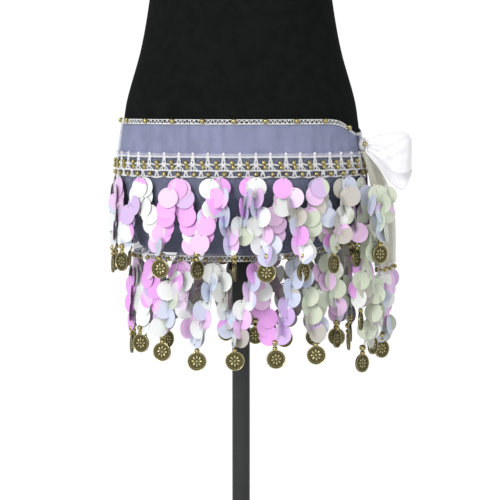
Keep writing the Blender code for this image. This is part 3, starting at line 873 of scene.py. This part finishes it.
# %% Beads and stitch knobs on the lace
BEAD_SIZE = 0.0060
BEAD_JITTER = 0.0004
LACE_BEAD_OUT = LACE_OUT + 0.0010
LaceBead = namedtuple("LaceBead", "shift z")
LACE_BEADS = (LaceBead(0.46, 0.9800), LaceBead(0.38, 0.9745), LaceBead(0.94, 0.9662))
bead_rows = [
    lace_place(k + bead.shift + sway[k], bead.z + lace_luck.uniform(-BEAD_JITTER, BEAD_JITTER), LACE_BEAD_OUT)
    for k in range(LACE_REPEATS)
    for bead in LACE_BEADS
]
finish_beads("lace_beads", beads(bead_rows, BEAD_SIZE))

# Knobs of yarn where the bars are stitched through the fold
KNOB_SIZE = 0.0036
KNOB_OUT = LACE_OUT + 0.0004
knobs = [lace_place(k + sway[2 * k], KNOBS_Z, KNOB_OUT) for k in range(LACE_REPEATS + 1)]
finish_beads("stitch_knobs", beads(knobs, KNOB_SIZE), cotton, "white_crochet")
print("lace beads:", len(bead_rows), "knobs:", len(knobs))

# %% [markdown]
# ## Edgings
# The top edge and the hem carry a narrow crocheted edging: a firm chain along the cloth, and a zigzag of
# loops on it that leaves a row of small holes. Beads sit on it at even steps.

# %% Top and hem edgings
EDGING_LOOP = 0.0058
LOOP_JITTER = 0.0007
LOOP_COUNT = round((SCARF_END - SCARF_START) / EDGING_LOOP)
LOOP_STEPS = 4
HEM_CHAIN_BELOW = 0.0066


def edging_lines(cloth_edge, free_edge, out):
    """A firm chain along the cloth, a chain on the loops' tips, and the zigzag of loops between them."""
    chains = [lace_chain(z, out=out) for z in (cloth_edge, free_edge)]
    zigzag = []
    for k in range(LOOP_COUNT * LOOP_STEPS + 1):
        along = SCARF_START + (SCARF_END - SCARF_START) * k / (LOOP_COUNT * LOOP_STEPS)
        swing = 0.5 - 0.5 * math.cos(math.pi * k / 2)
        height = cloth_edge + (free_edge - cloth_edge) * swing + lace_luck.uniform(-LOOP_JITTER, LOOP_JITTER)
        zigzag.append(scarf_place(along + lace_luck.uniform(-LOOP_JITTER, LOOP_JITTER), height, out))
    return *chains, zigzag


firm, tips, zigzag = edging_lines(TOP_EDGE_Z + 0.0012, TOP_EDGE_Z + 0.0060, PANEL_OUT + 0.0012)
crochet("top_edging_yarn", [firm], TOP_YARN, "top_edging")
crochet("top_edging_loops", [tips, zigzag], LOOP_YARN)
firm, tips, zigzag = edging_lines(HEM_Z - 0.0008, HEM_Z - HEM_CHAIN_BELOW, PANEL_OUT + 0.0016)
crochet("hem_edging_yarn", [firm, tips], HEM_YARN)
crochet("hem_edging_loops", [zigzag], LOOP_YARN)
print("loops of each edging:", LOOP_COUNT)

# %% Beads on the edgings
TOP_BEAD_PITCH = 0.038
TOP_BEAD_SIZE = 0.0066
TOP_BEAD_Z = TOP_EDGE_Z + 0.0045
HEM_BEAD_SIZE = 0.0054
HEM_BEAD_Z = HEM_Z - 0.0050
EDGING_BEAD_OUT = PANEL_OUT + 0.0028
top_steps = [(k + 0.5) * TOP_BEAD_PITCH for k in range(int((SCARF_END - SCARF_START) / TOP_BEAD_PITCH) - 1)]
top_bead_places = [scarf_place(along, TOP_BEAD_Z, EDGING_BEAD_OUT) for along in top_steps]
hem_bead_places = [lace_place(k + 0.5, HEM_BEAD_Z, EDGING_BEAD_OUT) for k in range(LACE_REPEATS)]
edging_beads = beads(top_bead_places, TOP_BEAD_SIZE) + beads(hem_bead_places, HEM_BEAD_SIZE)
finish_beads("edging_beads", edging_beads)
print("edging beads:", len(edging_beads))

# %% [markdown]
# ## A coin
# The coins are pressed brass with an antique finish: bright where they are proud, nearly black in the
# hollows. One profile runs from the middle of the face round the rim to the middle of the back, and a
# ring of dots and a plain eight-petalled flower, a pattern of this lesson's own, are raised on both sides.

# %% The coin model
COIN_RADIUS = 0.01125
COIN_HALF = 0.00045
COIN_RELIEF = 0.00075
COIN_COLUMNS = 48
COIN_ROWS = 28
COIN_EDGE = 0.08
COIN_DOTS = 24
COIN_PETALS = 8
# Where the pattern's parts lie, as shares of the radius
BOSS_REACH = 0.15
PETAL_START = 0.18
PETAL_LENGTH = 0.46
LEAVES_AT = 0.60
DOTS_AT = 0.80
RIM_START = 0.90
RING_WIDTH = 0.05

def raised_ring(share, middle, around):
    """A ring at a share of the radius, broken up by a wave around the coin."""
    return math.exp(-(((share - middle) / RING_WIDTH) ** 2)) * max(0.0, around)

def coin_relief(share, angle):
    """How proud the face is at a share of the radius: a boss, petals, leaves, dots and a rim."""
    petals = math.cos(COIN_PETALS * angle)
    boss = max(0.0, 1 - (share / BOSS_REACH) ** 2)
    petal_width = math.sin(math.pi * min(max((share - PETAL_START) / PETAL_LENGTH, 0), 1))
    petal = max(0.0, petal_width * (0.55 + 0.75 * petals))
    leaf = 0.5 * raised_ring(share, LEAVES_AT, -petals)
    dots = raised_ring(share, DOTS_AT, math.cos(COIN_DOTS * angle))
    rim = min(max((share - RIM_START) / RING_WIDTH, 0), 1)
    return min(1.0, boss + 0.8 * petal + leaf + 0.9 * dots + rim)

def coin_point(u, v):
    """V goes from the middle of the face round the rim to the middle of the back."""
    angle = math.tau * u
    share = min(1.0, 1.02 * math.sin(math.pi * v) ** 0.75) if 0 < v < 1 else 0.0
    height = math.copysign(COIN_HALF + COIN_RELIEF * coin_relief(share, angle), 0.5 - v)
    if share >= 1.0:
        height *= min(1.0, abs(0.5 - v) / COIN_EDGE)
    return Vector((COIN_RADIUS * share * math.cos(angle), COIN_RADIUS * share * math.sin(angle), height))

coin_model = lay_grid("coin_model", COIN_COLUMNS, COIN_ROWS, coin_point, closed=True)
print("coin triangles:", triangles(coin_model))

# %% Antique brass
# Relief is 1 where the coin is proudest, and what lies low keeps the dark finish.
WORN_FROM, WORN_TO = 0.5, 0.95
antique_coin = new_finish("antique_coin", base_color=(0.3, 0.24, 0.09, 1), metallic=1.0, roughness=0.35)
relief = add_node(antique_coin, "ShaderNodeAttribute", attribute_name="relief").outputs["Fac"]
worn = blend_colours(antique_coin, relief, (0.10, 0.085, 0.035), (0.72, 0.65, 0.35), WORN_FROM, WORN_TO)
drive(antique_coin, "Base Color", worn)
drive(antique_coin, "Roughness", blend_values(antique_coin, relief, 0.5, 0.24, WORN_FROM, WORN_TO))
add_bump(antique_coin, object_noise(antique_coin, 900), strength=0.3, distance=0.0003)
print("coin finish:", antique_coin.name)

# %% [markdown]
# ## A paillette
# A paillette is a flat round of pearly film, 24 mm across, with one small hole by which it hangs. Four strips
# of faces between the hole and the rim make it: the face, the edge, the back and the hole's wall.

# %% The paillette model
DISC_RADIUS = 0.0120
DISC_HALF = 0.00018
HOLE_RADIUS = 0.0008
HOLE_RISE = 0.0098
DISC_RAYS = 24


def disc_point(u, v):
    """V goes from the hole over the face, round the rim and back to the hole."""
    way = Vector((math.cos(math.tau * u), math.sin(math.tau * u), 0))
    row = round(v * 4)
    point = way * DISC_RADIUS if row in (1, 2) else way * HOLE_RADIUS + Vector((0, HOLE_RISE, 0))
    point.z = DISC_HALF if row in (0, 1, 4) else -DISC_HALF
    return point


disc_model = lay_grid("disc_model", DISC_RAYS, 4, disc_point, closed=True)
print("paillette faces:", len(disc_model.data.polygons))

# %% Pearly film
# A Mix node for colours has its factor in socket 0, and these sockets for the rest.
MIX_A, MIX_B, MIX_RESULT = 6, 7, 2
# The back face is painted dark olive grey: partly the film's duller reverse, partly painted shade on backs
# that face in under the fringe.
BACK_TINT_AND_SHADE = (0.17, 0.165, 0.14)
BACK_SHADE_SHARE = 0.85
# Past this line across its face a paillette shows its second tint: a painted sheen, where a reflection splits
# the film's colour.
SHEEN_SPLIT_FROM, SHEEN_SPLIT_TO = 0.70, 0.76
pearl = new_finish(
    "pearl_film",
    base_color=(0.95, 0.6, 0.95, 1),
    roughness=0.28,
    specular_ior_level=0.5,
    coat_weight=0.4,
    coat_roughness=0.1,
    thin_film_thickness=420.0,
    thin_film_ior=1.45,
)
face_map = add_node(pearl, "ShaderNodeUVMap", uv_map="face_map")
split = add_node(pearl, "ShaderNodeSeparateXYZ")
link(pearl, face_map.outputs["UV"], split.inputs["Vector"])
tints = [add_node(pearl, "ShaderNodeAttribute", attribute_name=name) for name in ("tint", "second_tint")]
sheen_edge = blend_values(pearl, split.outputs["X"], 0.0, 1.0, SHEEN_SPLIT_FROM, SHEEN_SPLIT_TO)
both = add_node(pearl, "ShaderNodeMix", data_type="RGBA")
link(pearl, sheen_edge, both.inputs[0])
link(pearl, tints[0].outputs["Color"], both.inputs[MIX_A])
link(pearl, tints[1].outputs["Color"], both.inputs[MIX_B])
front = add_node(pearl, "ShaderNodeAttribute", attribute_name="front")
back_tint_and_shade_mix = add_node(pearl, "ShaderNodeMix", data_type="RGBA")
link(pearl, blend_values(pearl, front.outputs["Fac"], BACK_SHADE_SHARE, 0.0, -0.1, 0.1), back_tint_and_shade_mix.inputs[0])
link(pearl, both.outputs[MIX_RESULT], back_tint_and_shade_mix.inputs[MIX_A])
back_tint_and_shade_mix.inputs[MIX_B].default_value = (*BACK_TINT_AND_SHADE, 1)
drive(pearl, "Base Color", back_tint_and_shade_mix.outputs[MIX_RESULT])
print("tints on each paillette:", len(tints))

# %% [markdown]
# ## Swags
# A swag is two crocheted arms that meet below in two gold beads and a coin. Up to eight paillettes hang on
# each arm like tiles, the upper over the lower, and on some arms they stand open to both sides of the chain.
# The places of the front swags come from the photograph, and the back ones are evenly spaced.

# %% Where the swags hang
# Arms name the one nearer the knot first: "t" lies like tiles, "o" stands open, "" is left to chance
Swag = namedtuple("Swag", "middle length coin_turn arms", defaults=("",))
FRONT_TIER_ONE = [
    Swag(0.1430, 0.87, 25, "oo"),
    Swag(0.1083, 0.92, 30, "ot"),
    Swag(0.0700, 1.00, 35, "to"),
    Swag(0.0295, 1.00, 5, "to"),
    Swag(-0.0068, 0.99, 84, "oo"),
    Swag(-0.0490, 0.97, 62, "tt"),
    Swag(-0.0925, 0.97, 0, "tt"),
    Swag(-0.1490, 0.92, 20, "tt"),
    Swag(-0.1855, 0.97, 10, "oo"),
]
FRONT_TIER_TWO = [
    Swag(0.1370, 0.97, 30, "oo"),
    Swag(0.1005, 1.09, -40, "to"),
    Swag(0.0450, 1.06, 5, "ot"),
    Swag(-0.0080, 1.06, 0, "oo"),
    Swag(-0.0572, 1.07, 5, "oo"),
    Swag(-0.1055, 0.98, 10, "ot"),
    Swag(-0.1470, 0.91, 50, "tt"),
    Swag(-0.1860, 0.96, 10, "oo"),
]
BACK_SWAGS = 11
LENGTH_SPREAD = 0.05
BACK_COIN_TURNS = (-30, 0, 15, 40, 75)
swag_luck = random.Random(7)
disc_luck = random.Random(33)

def front_swags(table):
    return [swag._replace(middle=FRONT - swag.middle) for swag in table]

def back_swags():
    pitch = (SCARF_END - FAR_SIDE) / BACK_SWAGS
    lengths = [1 + swag_luck.uniform(-LENGTH_SPREAD, LENGTH_SPREAD) for _ in range(BACK_SWAGS)]
    return [
        Swag(FAR_SIDE + (k + 0.5) * pitch, length, disc_luck.choice(BACK_COIN_TURNS))
        for k, length in enumerate(lengths)
    ]

print("swags in front:", len(FRONT_TIER_ONE), "and", len(FRONT_TIER_TWO), "behind:", BACK_SWAGS, "a tier")

# %% Tints by chance
# Tints of the pearly film as it turns in the light, painted on each paillette by chance: a painted sheen, and
# the olive and grey ones painted shade. The shares say how often each shows on paillettes that face outwards,
# on those that are turned sideways, and on all where the hips curve away beside the knot, which lie more in
# shade.
Tint = namedtuple("Tint", "facing turned beside_knot colour")
TINTS = [
    Tint(33, 10, 6, (0.96, 0.45, 1.00)),
    Tint(22, 16, 12, (0.96, 0.64, 0.99)),
    Tint(31, 34, 11, (0.97, 1.00, 0.99)),
    Tint(10, 26, 20, (0.72, 0.77, 0.94)),
    Tint(1, 3, 24, (0.70, 0.77, 0.62)),
    Tint(1, 6, 18, (0.60, 0.57, 0.52)),
    Tint(3, 5, 6, (0.74, 0.54, 0.90)),
]
SAME_TINT = 0.45
# How often a paillette gets a painted sheen in a second tint.
PAINTED_SHEEN_SHARE = 0.4

def pick_tint(shown):
    """A tint by chance, with the shares of the column that is shown."""
    return disc_luck.choices([tint.colour for tint in TINTS], [getattr(tint, shown) for tint in TINTS])[0]

print("tints of the film:", len(TINTS))

# %% [markdown]
# ## One arm
# An arm's chain runs from its root on the edging to the swag's middle, in a slightly hollow line. Paillettes
# hang on it at even steps, and chance turns and tints each one. All of it stands calmer where the hips curve
# away, because things lean on each other there.

# %% An arm's chain
ARM_DROP = 0.0885
ARM_BELLY = 0.90
ARM_STEPS = 14
CHAIN_START = 0.0014
CHAIN_OUT = 0.0008
OPENED_CHAIN_OUT = 0.0105
# The chain is all the way out after a fifth of its length
CHAIN_RISE = 5
SIDE_CALM = 0.85
Arm = namedtuple("Arm", "place middle root top length nearness on_side opened")

def calmness(place, along, top):
    """How far things may stand off and turn: less where the hips curve away, as they lean on each other."""
    return 1 - SIDE_CALM * place(along, top - ARM_DROP, 0).outwards.x ** 2

def arm_place(arm, share, stand_off, aside=0.0):
    """A place on an arm's chain, by its share of the way down, or a little aside of it."""
    along = arm.middle + aside + (arm.root - arm.middle) * (1 - share) ** ARM_BELLY
    return arm.place(along, arm.top - share * ARM_DROP * arm.length, stand_off)

def hang_chain(arm, calm):
    start = CHAIN_START + arm.nearness * calm
    chain_out = OPENED_CHAIN_OUT * calm if arm.opened else CHAIN_OUT
    shares = [k / ARM_STEPS for k in range(ARM_STEPS + 1)]
    return [arm_place(arm, share, start + chain_out * min(1, CHAIN_RISE * share)) for share in shares]

print("an arm drops", round(ARM_DROP * 1000), "mm")

# %% An arm's paillettes
DISC_PITCH = 0.0110
FIRST_DISC = 0.0030
LAST_DISC = 0.0080
LOWEST_SHARE = 0.97
DISC_OUT = 0.0016
DISC_LEAN = (6, 11)
OPENED_ASIDE = 0.0040
OPENED_TURN = (30, 80)
OPENED_ROLL = (4, 20)
TURNED_AWAY = 35
LOOSE_TURN = 10
LOOSE_ASIDE = 0.0026
LOOSE_DROP = 0.0012
LIFTED = 0.22
LIFT = 0.0040
STRAY = 0.05
STRAY_TURN = 50

def hang_discs(arm, calm):
    """One arm's paillettes.

    Opened ones turn to both sides of a chain that shows between them. The others lie on theirs like tiles.
    """
    shown = "beside_knot" if arm.on_side else "facing"
    tint = pick_tint(shown)
    copies = []
    for k in range(1 + int((ARM_DROP * arm.length - FIRST_DISC - LAST_DISC) / DISC_PITCH)):
        drop = FIRST_DISC + k * DISC_PITCH
        if arm.opened and k:
            side = 1 if k % 2 else -1
            turn, roll = -side * disc_luck.uniform(*OPENED_TURN), side * disc_luck.uniform(*OPENED_ROLL)
            aside = -side * OPENED_ASIDE * calm
        else:
            turn, roll = disc_luck.gauss(0, LOOSE_TURN), disc_luck.gauss(0, LOOSE_TURN)
            aside = disc_luck.gauss(0, LOOSE_ASIDE) * calm
            drop += disc_luck.gauss(0, LOOSE_DROP)
        if disc_luck.random() < STRAY:
            turn = disc_luck.choice((-STRAY_TURN, STRAY_TURN))
        turn *= calm
        room = DISC_OUT + arm.nearness * calm + DISC_RADIUS * abs(math.sin(math.radians(turn)))
        if disc_luck.random() < LIFTED:
            room += LIFT * calm
        share = min(max(drop, 0) / (ARM_DROP * arm.length), LOWEST_SHARE)
        hang = arm_place(arm, share, room, aside)
        column = "turned" if shown == "facing" and abs(turn) > TURNED_AWAY else shown
        if disc_luck.random() > SAME_TINT or column == "turned":
            tint = pick_tint(column)
        second = pick_tint(column) if disc_luck.random() < PAINTED_SHEEN_SHARE else tint
        lean = calm * disc_luck.uniform(*DISC_LEAN)
        matrix = standing(hang, turn=turn, lean=lean, roll=roll, drop=HOLE_RISE)
        copies.append(Copy(matrix, disc_luck.uniform(0, math.tau), tint, second))
    return copies

print("paillettes on a full arm:", 1 + int((ARM_DROP - FIRST_DISC - LAST_DISC) / DISC_PITCH))

# %% [markdown]
# ## Whole swags
# Neighbouring swags share the edging between them half and half, so their roots come from their middles. Two
# beads and a coin hang where a swag's arms meet.

# %% Hanging swags on an edging
ROOT_FROM_NEIGHBOUR = 0.0026
ARM_NEARNESS = (0.0045, 0.0010)
OPENED = 0.42
SIDE_REACH = 0.105
SWAG_END_OUT = (0.0040, 0.0105)
SWAG_BEADS = ((0.0920, 0.0080), (0.0988, 0.0065))
COIN_DROP = 0.1020
COIN_HOLE = COIN_RADIUS * 0.80
COIN_LEAN = 2
COIN_ROLL = 8
Fringe = namedtuple("Fringe", "chains discs beads coins")

def hang_swags(swags, start, end, place, top_at, side_reach=0.0):
    """All that hangs on one stretch of edging: chains, paillettes, beads and coins."""
    fringe = Fringe([], [], [], [])
    middles = [swag.middle for swag in swags]
    edges = [start] + [(a + b) / 2 for a, b in zip(middles, middles[1:])] + [end]
    for swag, before, after in zip(swags, edges, edges[1:]):
        roots = before + ROOT_FROM_NEIGHBOUR, after - ROOT_FROM_NEIGHBOUR
        for root, nearness, letter in zip(roots, ARM_NEARNESS, swag.arms or "??"):
            opened = letter == "o" or (letter == "?" and disc_luck.random() < OPENED)
            top = top_at(root)
            arm = Arm(place, swag.middle, root, top, swag.length, nearness, root < side_reach, opened)
            calm = calmness(place, root, top)
            fringe.chains.append(hang_chain(arm, calm))
            fringe.discs.extend(hang_discs(arm, calm))
        top = top_at(swag.middle)
        calm = calmness(place, swag.middle, top)
        end_out = SWAG_END_OUT[0] + (SWAG_END_OUT[1] - SWAG_END_OUT[0]) * calm
        for drop, size in SWAG_BEADS:
            fringe.beads.extend(beads([place(swag.middle, top - drop * swag.length, end_out)], size))
        hang = place(swag.middle, top - COIN_DROP * swag.length, end_out)
        turn, roll = swag.coin_turn * calm, disc_luck.uniform(-COIN_ROLL, COIN_ROLL)
        fringe.coins.append(Copy(standing(hang, turn=turn, lean=COIN_LEAN, roll=roll, drop=COIN_HOLE)))
    return fringe

print("beads on a swag:", len(SWAG_BEADS))

# %% [markdown]
# ## From places to pieces
# Each stretch of fringe becomes four pieces: yarn, paillettes, beads and coins. The paillettes stand for the
# packed fringe. Pieces stay whole for each tier and side, so that none grows too heavy.

# %% Making a stretch of fringe
# The fringe's own weight pulls its chains into longer, more open stitches.
FRINGE_YARN = Yarn(0.00042, 0.00105, 0.0044)
COIN_SHARP = math.radians(60)

def make_fringe(name, fringe, *packed):
    yarn = crochet(f"{name}_yarn", fringe.chains, FRINGE_YARN)
    discs = join_copies(f"{name}_paillettes", disc_model, fringe.discs, 2 * DISC_RADIUS)
    dress(discs, pearl, "pearl_sequin", *packed)
    coins = join_copies(f"{name}_coins", coin_model, fringe.coins, 2 * COIN_RADIUS)
    select_only(coins)
    bpy.ops.object.shade_smooth_by_angle(angle=COIN_SHARP)
    dress(coins, antique_coin, "antique_gold")
    gold = finish_beads(f"{name}_beads", fringe.beads)
    print(name, "triangles:", [triangles(piece) for piece in (yarn, discs, coins, gold)])

def make_tier(name, table, top, out, hangs_from):
    """One tier round the hips, in a front and a back half."""

    def place(along, z, stand_off):
        return skin_place(along, z, out + stand_off, hangs_from)

    def top_at(along):
        return tied_height(along, top)

    front = hang_swags(front_swags(table), SCARF_START, FAR_SIDE, place, top_at, SIDE_REACH)
    make_fringe(f"{name}_front", front, f"{name}_fringe_front")
    back = hang_swags(back_swags(), FAR_SIDE, SCARF_END, place, top_at)
    make_fringe(f"{name}_back", back, f"{name}_fringe_back")

make_tier("tier_one", FRONT_TIER_ONE, LATTICE_LOW_Z, TIER_ONE_OUT, HIPS_Z)
make_tier("tier_two", FRONT_TIER_TWO, HEM_Z - HEM_CHAIN_BELOW, PANEL_OUT, SKIRT_HANGS_FROM)

# %% [markdown]
# ## The knot
# The two ends are tied in a small tight knot: a lump of cloth with a few turns across it. It is a closed
# grid with deep grooves where one turn lies over the next.

# %% Knot
KNOT_HALF = Vector((0.0052, 0.0068, 0.0078))
KNOT_TURNS = 5
KNOT_CREASES = 17
KNOT_GROOVE = 0.13
KNOT_CREASE = 0.015
KNOT_OUT = BAND_OUT + 0.0014 + KNOT_HALF.x
knot_middle = skin_place(0, KNOT_Z, KNOT_OUT).point


def knot_point(u, v):
    around, down = math.tau * u, math.pi * v
    ball = Vector((math.sin(down) * math.cos(around), math.sin(down) * math.sin(around), math.cos(down)))
    turn = math.atan2(ball.z, ball.y)
    reach = math.hypot(ball.y, ball.z)
    groove = abs(math.sin(KNOT_TURNS * turn / 2 + 1.2 * ball.x + 0.6)) ** 0.6 * reach
    crease = math.sin(KNOT_CREASES * turn + 5 * ball.x) * reach
    swell = 0.90 + KNOT_GROOVE * groove + KNOT_CREASE * crease
    local = Vector(a * b * swell for a, b in zip(ball, KNOT_HALF))
    return knot_middle + Matrix.Rotation(KNOT_ANGLE, 3, "Z") @ local


knot = lay_grid("tie_knot", 72, 40, knot_point, closed=True)
dress(knot, tight_chiffon, "white_chiffon", "knot")

forwards = Vector((0, -1, 0))
KNOT_BEAD = Vector((0.0022, -KNOT_HALF.y - 0.0008, 0.0004))
finish_beads("knot_bead", beads([Place(knot_middle + KNOT_BEAD, forwards)], BEAD_SIZE))
print("knot triangles:", triangles(knot))

# %% [markdown]
# ## The half bow
# One loop of the tie stands out beyond the hip. It leaves the knot gathered, opens into a wide soft loop
# and comes back behind itself, wider and lower. Ten cuts through it, measured from where it leaves the
# knot, give the loop its shape, and a smooth curve runs through them. A soft crease swings across its front.

# %% Bow loop
BowCut = namedtuple("BowCut", "share out side top foot")
BOW_CUTS = [
    BowCut(0.00, 0.0000, -0.0030, 0.0055, -0.0065),
    BowCut(0.10, 0.0120, -0.0090, 0.0100, -0.0150),
    BowCut(0.25, 0.0320, -0.0140, 0.0138, -0.0330),
    BowCut(0.40, 0.0465, -0.0110, 0.0125, -0.0325),
    BowCut(0.50, 0.0535, 0.0000, 0.0055, -0.0305),
    BowCut(0.60, 0.0505, 0.0100, 0.0075, -0.0445),
    BowCut(0.70, 0.0425, 0.0140, 0.0080, -0.0545),
    BowCut(0.82, 0.0280, 0.0120, 0.0060, -0.0435),
    BowCut(0.92, 0.0140, 0.0070, 0.0040, -0.0250),
    BowCut(1.00, 0.0000, 0.0030, 0.0035, -0.0085),
]
CreaseStep = namedtuple("CreaseStep", "out z")
BOW_CREASE = [
    CreaseStep(0.000, -0.0025),
    CreaseStep(0.008, -0.0085),
    CreaseStep(0.015, -0.0105),
    CreaseStep(0.023, -0.0065),
    CreaseStep(0.038, 0.0020),
    CreaseStep(0.054, 0.0060),
]
CREASE_DEPTH = 0.0040
CREASE_WIDTH = 0.0042
CREASE_REACH = 0.0520
BOW_TURN = math.radians(4)
BOW_FROM_KNOT = 0.0057
BOW_WALL = 0.0006
FINE_CREASE = 0.0010
FINE_CREASE_REACH = 0.020
EDGE_TUCK = 0.30
LOOP_WAVE = 0.0010
RIDGE_SHARE = 0.6
RIDGE_BELOW = 1.7
BOW_COLUMNS = 120
BOW_ROWS = 60
BOW_OUT = Vector((math.cos(BOW_TURN), math.sin(BOW_TURN), 0))
BOW_BACK = Vector((-BOW_OUT.y, BOW_OUT.x, 0))


def bow_point(u, v):
    """The loop's surface. U runs out along the front layer and back behind it, and v from top to foot."""
    out, side, top, foot = (along_table(BOW_CUTS, "share", u, column) for column in BowCut._fields[1:])
    z = top + (foot - top) * v
    side *= 1 - EDGE_TUCK * (2 * v - 1) ** 2
    side += FINE_CREASE * math.sin(24 * v + 3 * u + 1.0) * math.exp(-out / FINE_CREASE_REACH)
    side += LOOP_WAVE * math.sin(8 * v + 1.5) * math.sin(math.pi * u) ** 2
    if u < 0.5:
        below = (z - along_table(BOW_CREASE, "out", out, "z")) / CREASE_WIDTH
        fade = math.sin(math.pi * min(out / CREASE_REACH, 1)) ** 0.7
        ridge = RIDGE_SHARE * math.exp(-((below + RIDGE_BELOW) ** 2))
        side += CREASE_DEPTH * fade * (math.exp(-(below**2)) - ridge)
    return knot_middle + BOW_OUT * (BOW_FROM_KNOT + out) + BOW_BACK * side + Vector((0, 0, z))


bow = thicken(lay_grid("tie_bow", BOW_COLUMNS, BOW_ROWS, bow_point), BOW_WALL)
dress(bow, gathered_chiffon, "white_chiffon", "bow_loop")

# The loop's two long edges are finished with a narrow rolled hem
HEM_ROLL = 0.0006
HEM_STEPS = 120
hem_paths = [[bow_point(k / HEM_STEPS, edge) for k in range(HEM_STEPS + 1)] for edge in (0, 1)]
bow_hem = dress(round_yarn("bow_hem", hem_paths, HEM_ROLL), gathered_chiffon, "white_chiffon")
print("bow triangles:", triangles(bow), triangles(bow_hem))

# %% [markdown]
# ## The tail
# The loose end hangs from the knot in pleats. It is in the form's shade and its layers show each other
# through, so it looks greyer than the bow. Its hem and front carry the same edging and swags.

# %% The tail's cloth
TAIL_TOP_Z = 0.9915
TAIL_LOW_Z = 0.8530
TAIL_NECK = 0.0130
TAIL_BEHIND_KNOT = 0.0030
TAIL_FRONT = Vector((0.1625, -0.0480, 0.0))
TAIL_BACK = Vector((0.1880, 0.0360, 0.0))
TAIL_FLARE = 3.6
TAIL_PLEATS = 3
TAIL_PLEAT_START = 0.12
TAIL_PLEAT_DEPTH = 0.0065
TAIL_NECK_PLEAT = 0.0020
TAIL_FINE_PLEAT = 0.0008
TAIL_COLUMNS = 110
TAIL_ROWS = 56


def tail_point(u, z, out=0.0):
    """The tail's surface: u runs from its front edge to its back edge."""
    fall = min(max((TAIL_TOP_Z - z) / (TAIL_TOP_Z - TAIL_LOW_Z), 0), 1)
    wave = math.sin(math.tau * (TAIL_PLEATS * u + TAIL_PLEAT_START))
    fine = TAIL_FINE_PLEAT * math.sin(math.tau * (7 * u + 0.4 + 0.3 * fall))
    hem = TAIL_FRONT.lerp(TAIL_BACK, u) + Vector((TAIL_PLEAT_DEPTH * wave + fine + out, 0, 0))
    neck_shift = Vector((TAIL_NECK_PLEAT * wave + out, TAIL_BEHIND_KNOT + TAIL_NECK * (u - 0.5), 0))
    point = (knot_middle + neck_shift).lerp(hem, 1 - (1 - fall) ** TAIL_FLARE)
    point.z = z
    return point


def tail_cloth(u, v):
    return tail_point(1 - u, TAIL_TOP_Z + (TAIL_LOW_Z - TAIL_TOP_Z) * v)

tail = thicken(lay_grid("tie_tail", TAIL_COLUMNS, TAIL_ROWS, tail_cloth), CHIFFON_WALL)
dress(tail, shaded_chiffon, "white_chiffon", "tail_panel")
print("tail triangles:", triangles(tail))

# %% The tail's hem, with its edging and three swags
TAIL_LENGTHS = (0.98, 0.80, 0.88)
TAIL_COIN_TURNS = (20, 35, 10)
TAIL_EDGING_Z = TAIL_LOW_Z - 0.0090
TAIL_SWAG_INNER = 0.0050
FRONT_SWING = 0.026
BACK_SWING = 0.012
TAIL_CHAIN_DROPS = (0.0008, 0.0066)
TAIL_CHAIN_OUT = 0.0012
TAIL_CHAIN_STEPS = 60
TAIL_BEADS = 9
TAIL_BEAD_Z = TAIL_LOW_Z - 0.0040
TAIL_BEAD_OUT = 0.0026
tail_reach = (TAIL_BACK - TAIL_FRONT).length
tail_side = Vector((TAIL_BACK.y - TAIL_FRONT.y, TAIL_FRONT.x - TAIL_BACK.x, 0)).normalized()
tail_facing = Vector((0.45, -0.89, 0)).normalized()

def tail_hem_place(along, z, stand_off):
    """A place on the tail's hem. What hangs below the edging swings in towards the hip."""
    share = min(max(along / tail_reach, 0), 1)
    if z < TAIL_EDGING_Z:
        line = TAIL_FRONT.lerp(TAIL_BACK, share)
        below = min((TAIL_EDGING_Z - z) / ARM_DROP, 1)
        inwards = (FRONT_SWING + (BACK_SWING - FRONT_SWING) * share) * below**0.6
        swung = Vector((line.x - inwards, line.y, z))
        return Place(swung + tail_side * (stand_off - TAIL_SWAG_INNER), tail_facing)
    edge = tail_point(share, TAIL_LOW_Z, stand_off)
    return Place(Vector((edge.x, edge.y, z)), tail_side)

pitch = tail_reach / len(TAIL_LENGTHS)
hem_swags = [
    Swag((k + 0.5) * pitch, length, turn)
    for k, (length, turn) in enumerate(zip(TAIL_LENGTHS, TAIL_COIN_TURNS))
]
tail_hem = hang_swags(hem_swags, 0, tail_reach, tail_hem_place, lambda along: TAIL_EDGING_Z, tail_reach)
hem_steps = [k * tail_reach / TAIL_CHAIN_STEPS for k in range(TAIL_CHAIN_STEPS + 1)]
for drop in TAIL_CHAIN_DROPS:
    tail_hem.chains.append([tail_hem_place(along, TAIL_LOW_Z - drop, TAIL_CHAIN_OUT) for along in hem_steps])
bead_steps = [(k + 0.5) * tail_reach / TAIL_BEADS for k in range(TAIL_BEADS)]
bead_places = [tail_hem_place(along, TAIL_BEAD_Z, TAIL_BEAD_OUT) for along in bead_steps]
tail_hem.beads.extend(beads(bead_places, BEAD_SIZE))
make_fringe("tail_hem", tail_hem, "tail_hem_fringe")

# %% Two swags on the tail's front edge
# The lower one swings in towards the hip.
EdgeSwag = namedtuple("EdgeSwag", "swag x out top_z span swing")
TAIL_EDGE_SWAGS = (
    EdgeSwag(Swag(0.0, 0.73, 35, "oo"), 0.1664, 0.0014, 0.9530, 0.0200, 0.0),
    EdgeSwag(Swag(0.0, 1.06, 75, "to"), TAIL_FRONT.x, -0.0020, 0.9060, 0.0130, 0.0190),
)

def hang_on_tail(hung):
    """All that hangs in one swag of the tail's front edge."""

    def place(along, z, stand_off):
        below = min(max((hung.top_z - z) / ARM_DROP, 0), 1)
        x = hung.x + along - hung.swing * below**0.4
        return Place(Vector((x, TAIL_FRONT.y - hung.out - stand_off, z)), forwards)

    half = hung.span / 2
    return hang_swags([hung.swag], -half, half, place, lambda along: hung.top_z, half)

upper, lower = [hang_on_tail(hung) for hung in TAIL_EDGE_SWAGS]
tail_front = Fringe(*(first + second for first, second in zip(upper, lower)))
make_fringe("tail_front", tail_front, "tail_front_fringe")

# %% [markdown]
# ## The copied models
# The models that were copied are removed.

# %% Removing the copied models
for model in (bead_model, coin_model, disc_model):
    bpy.data.objects.remove(model, do_unlink=True)
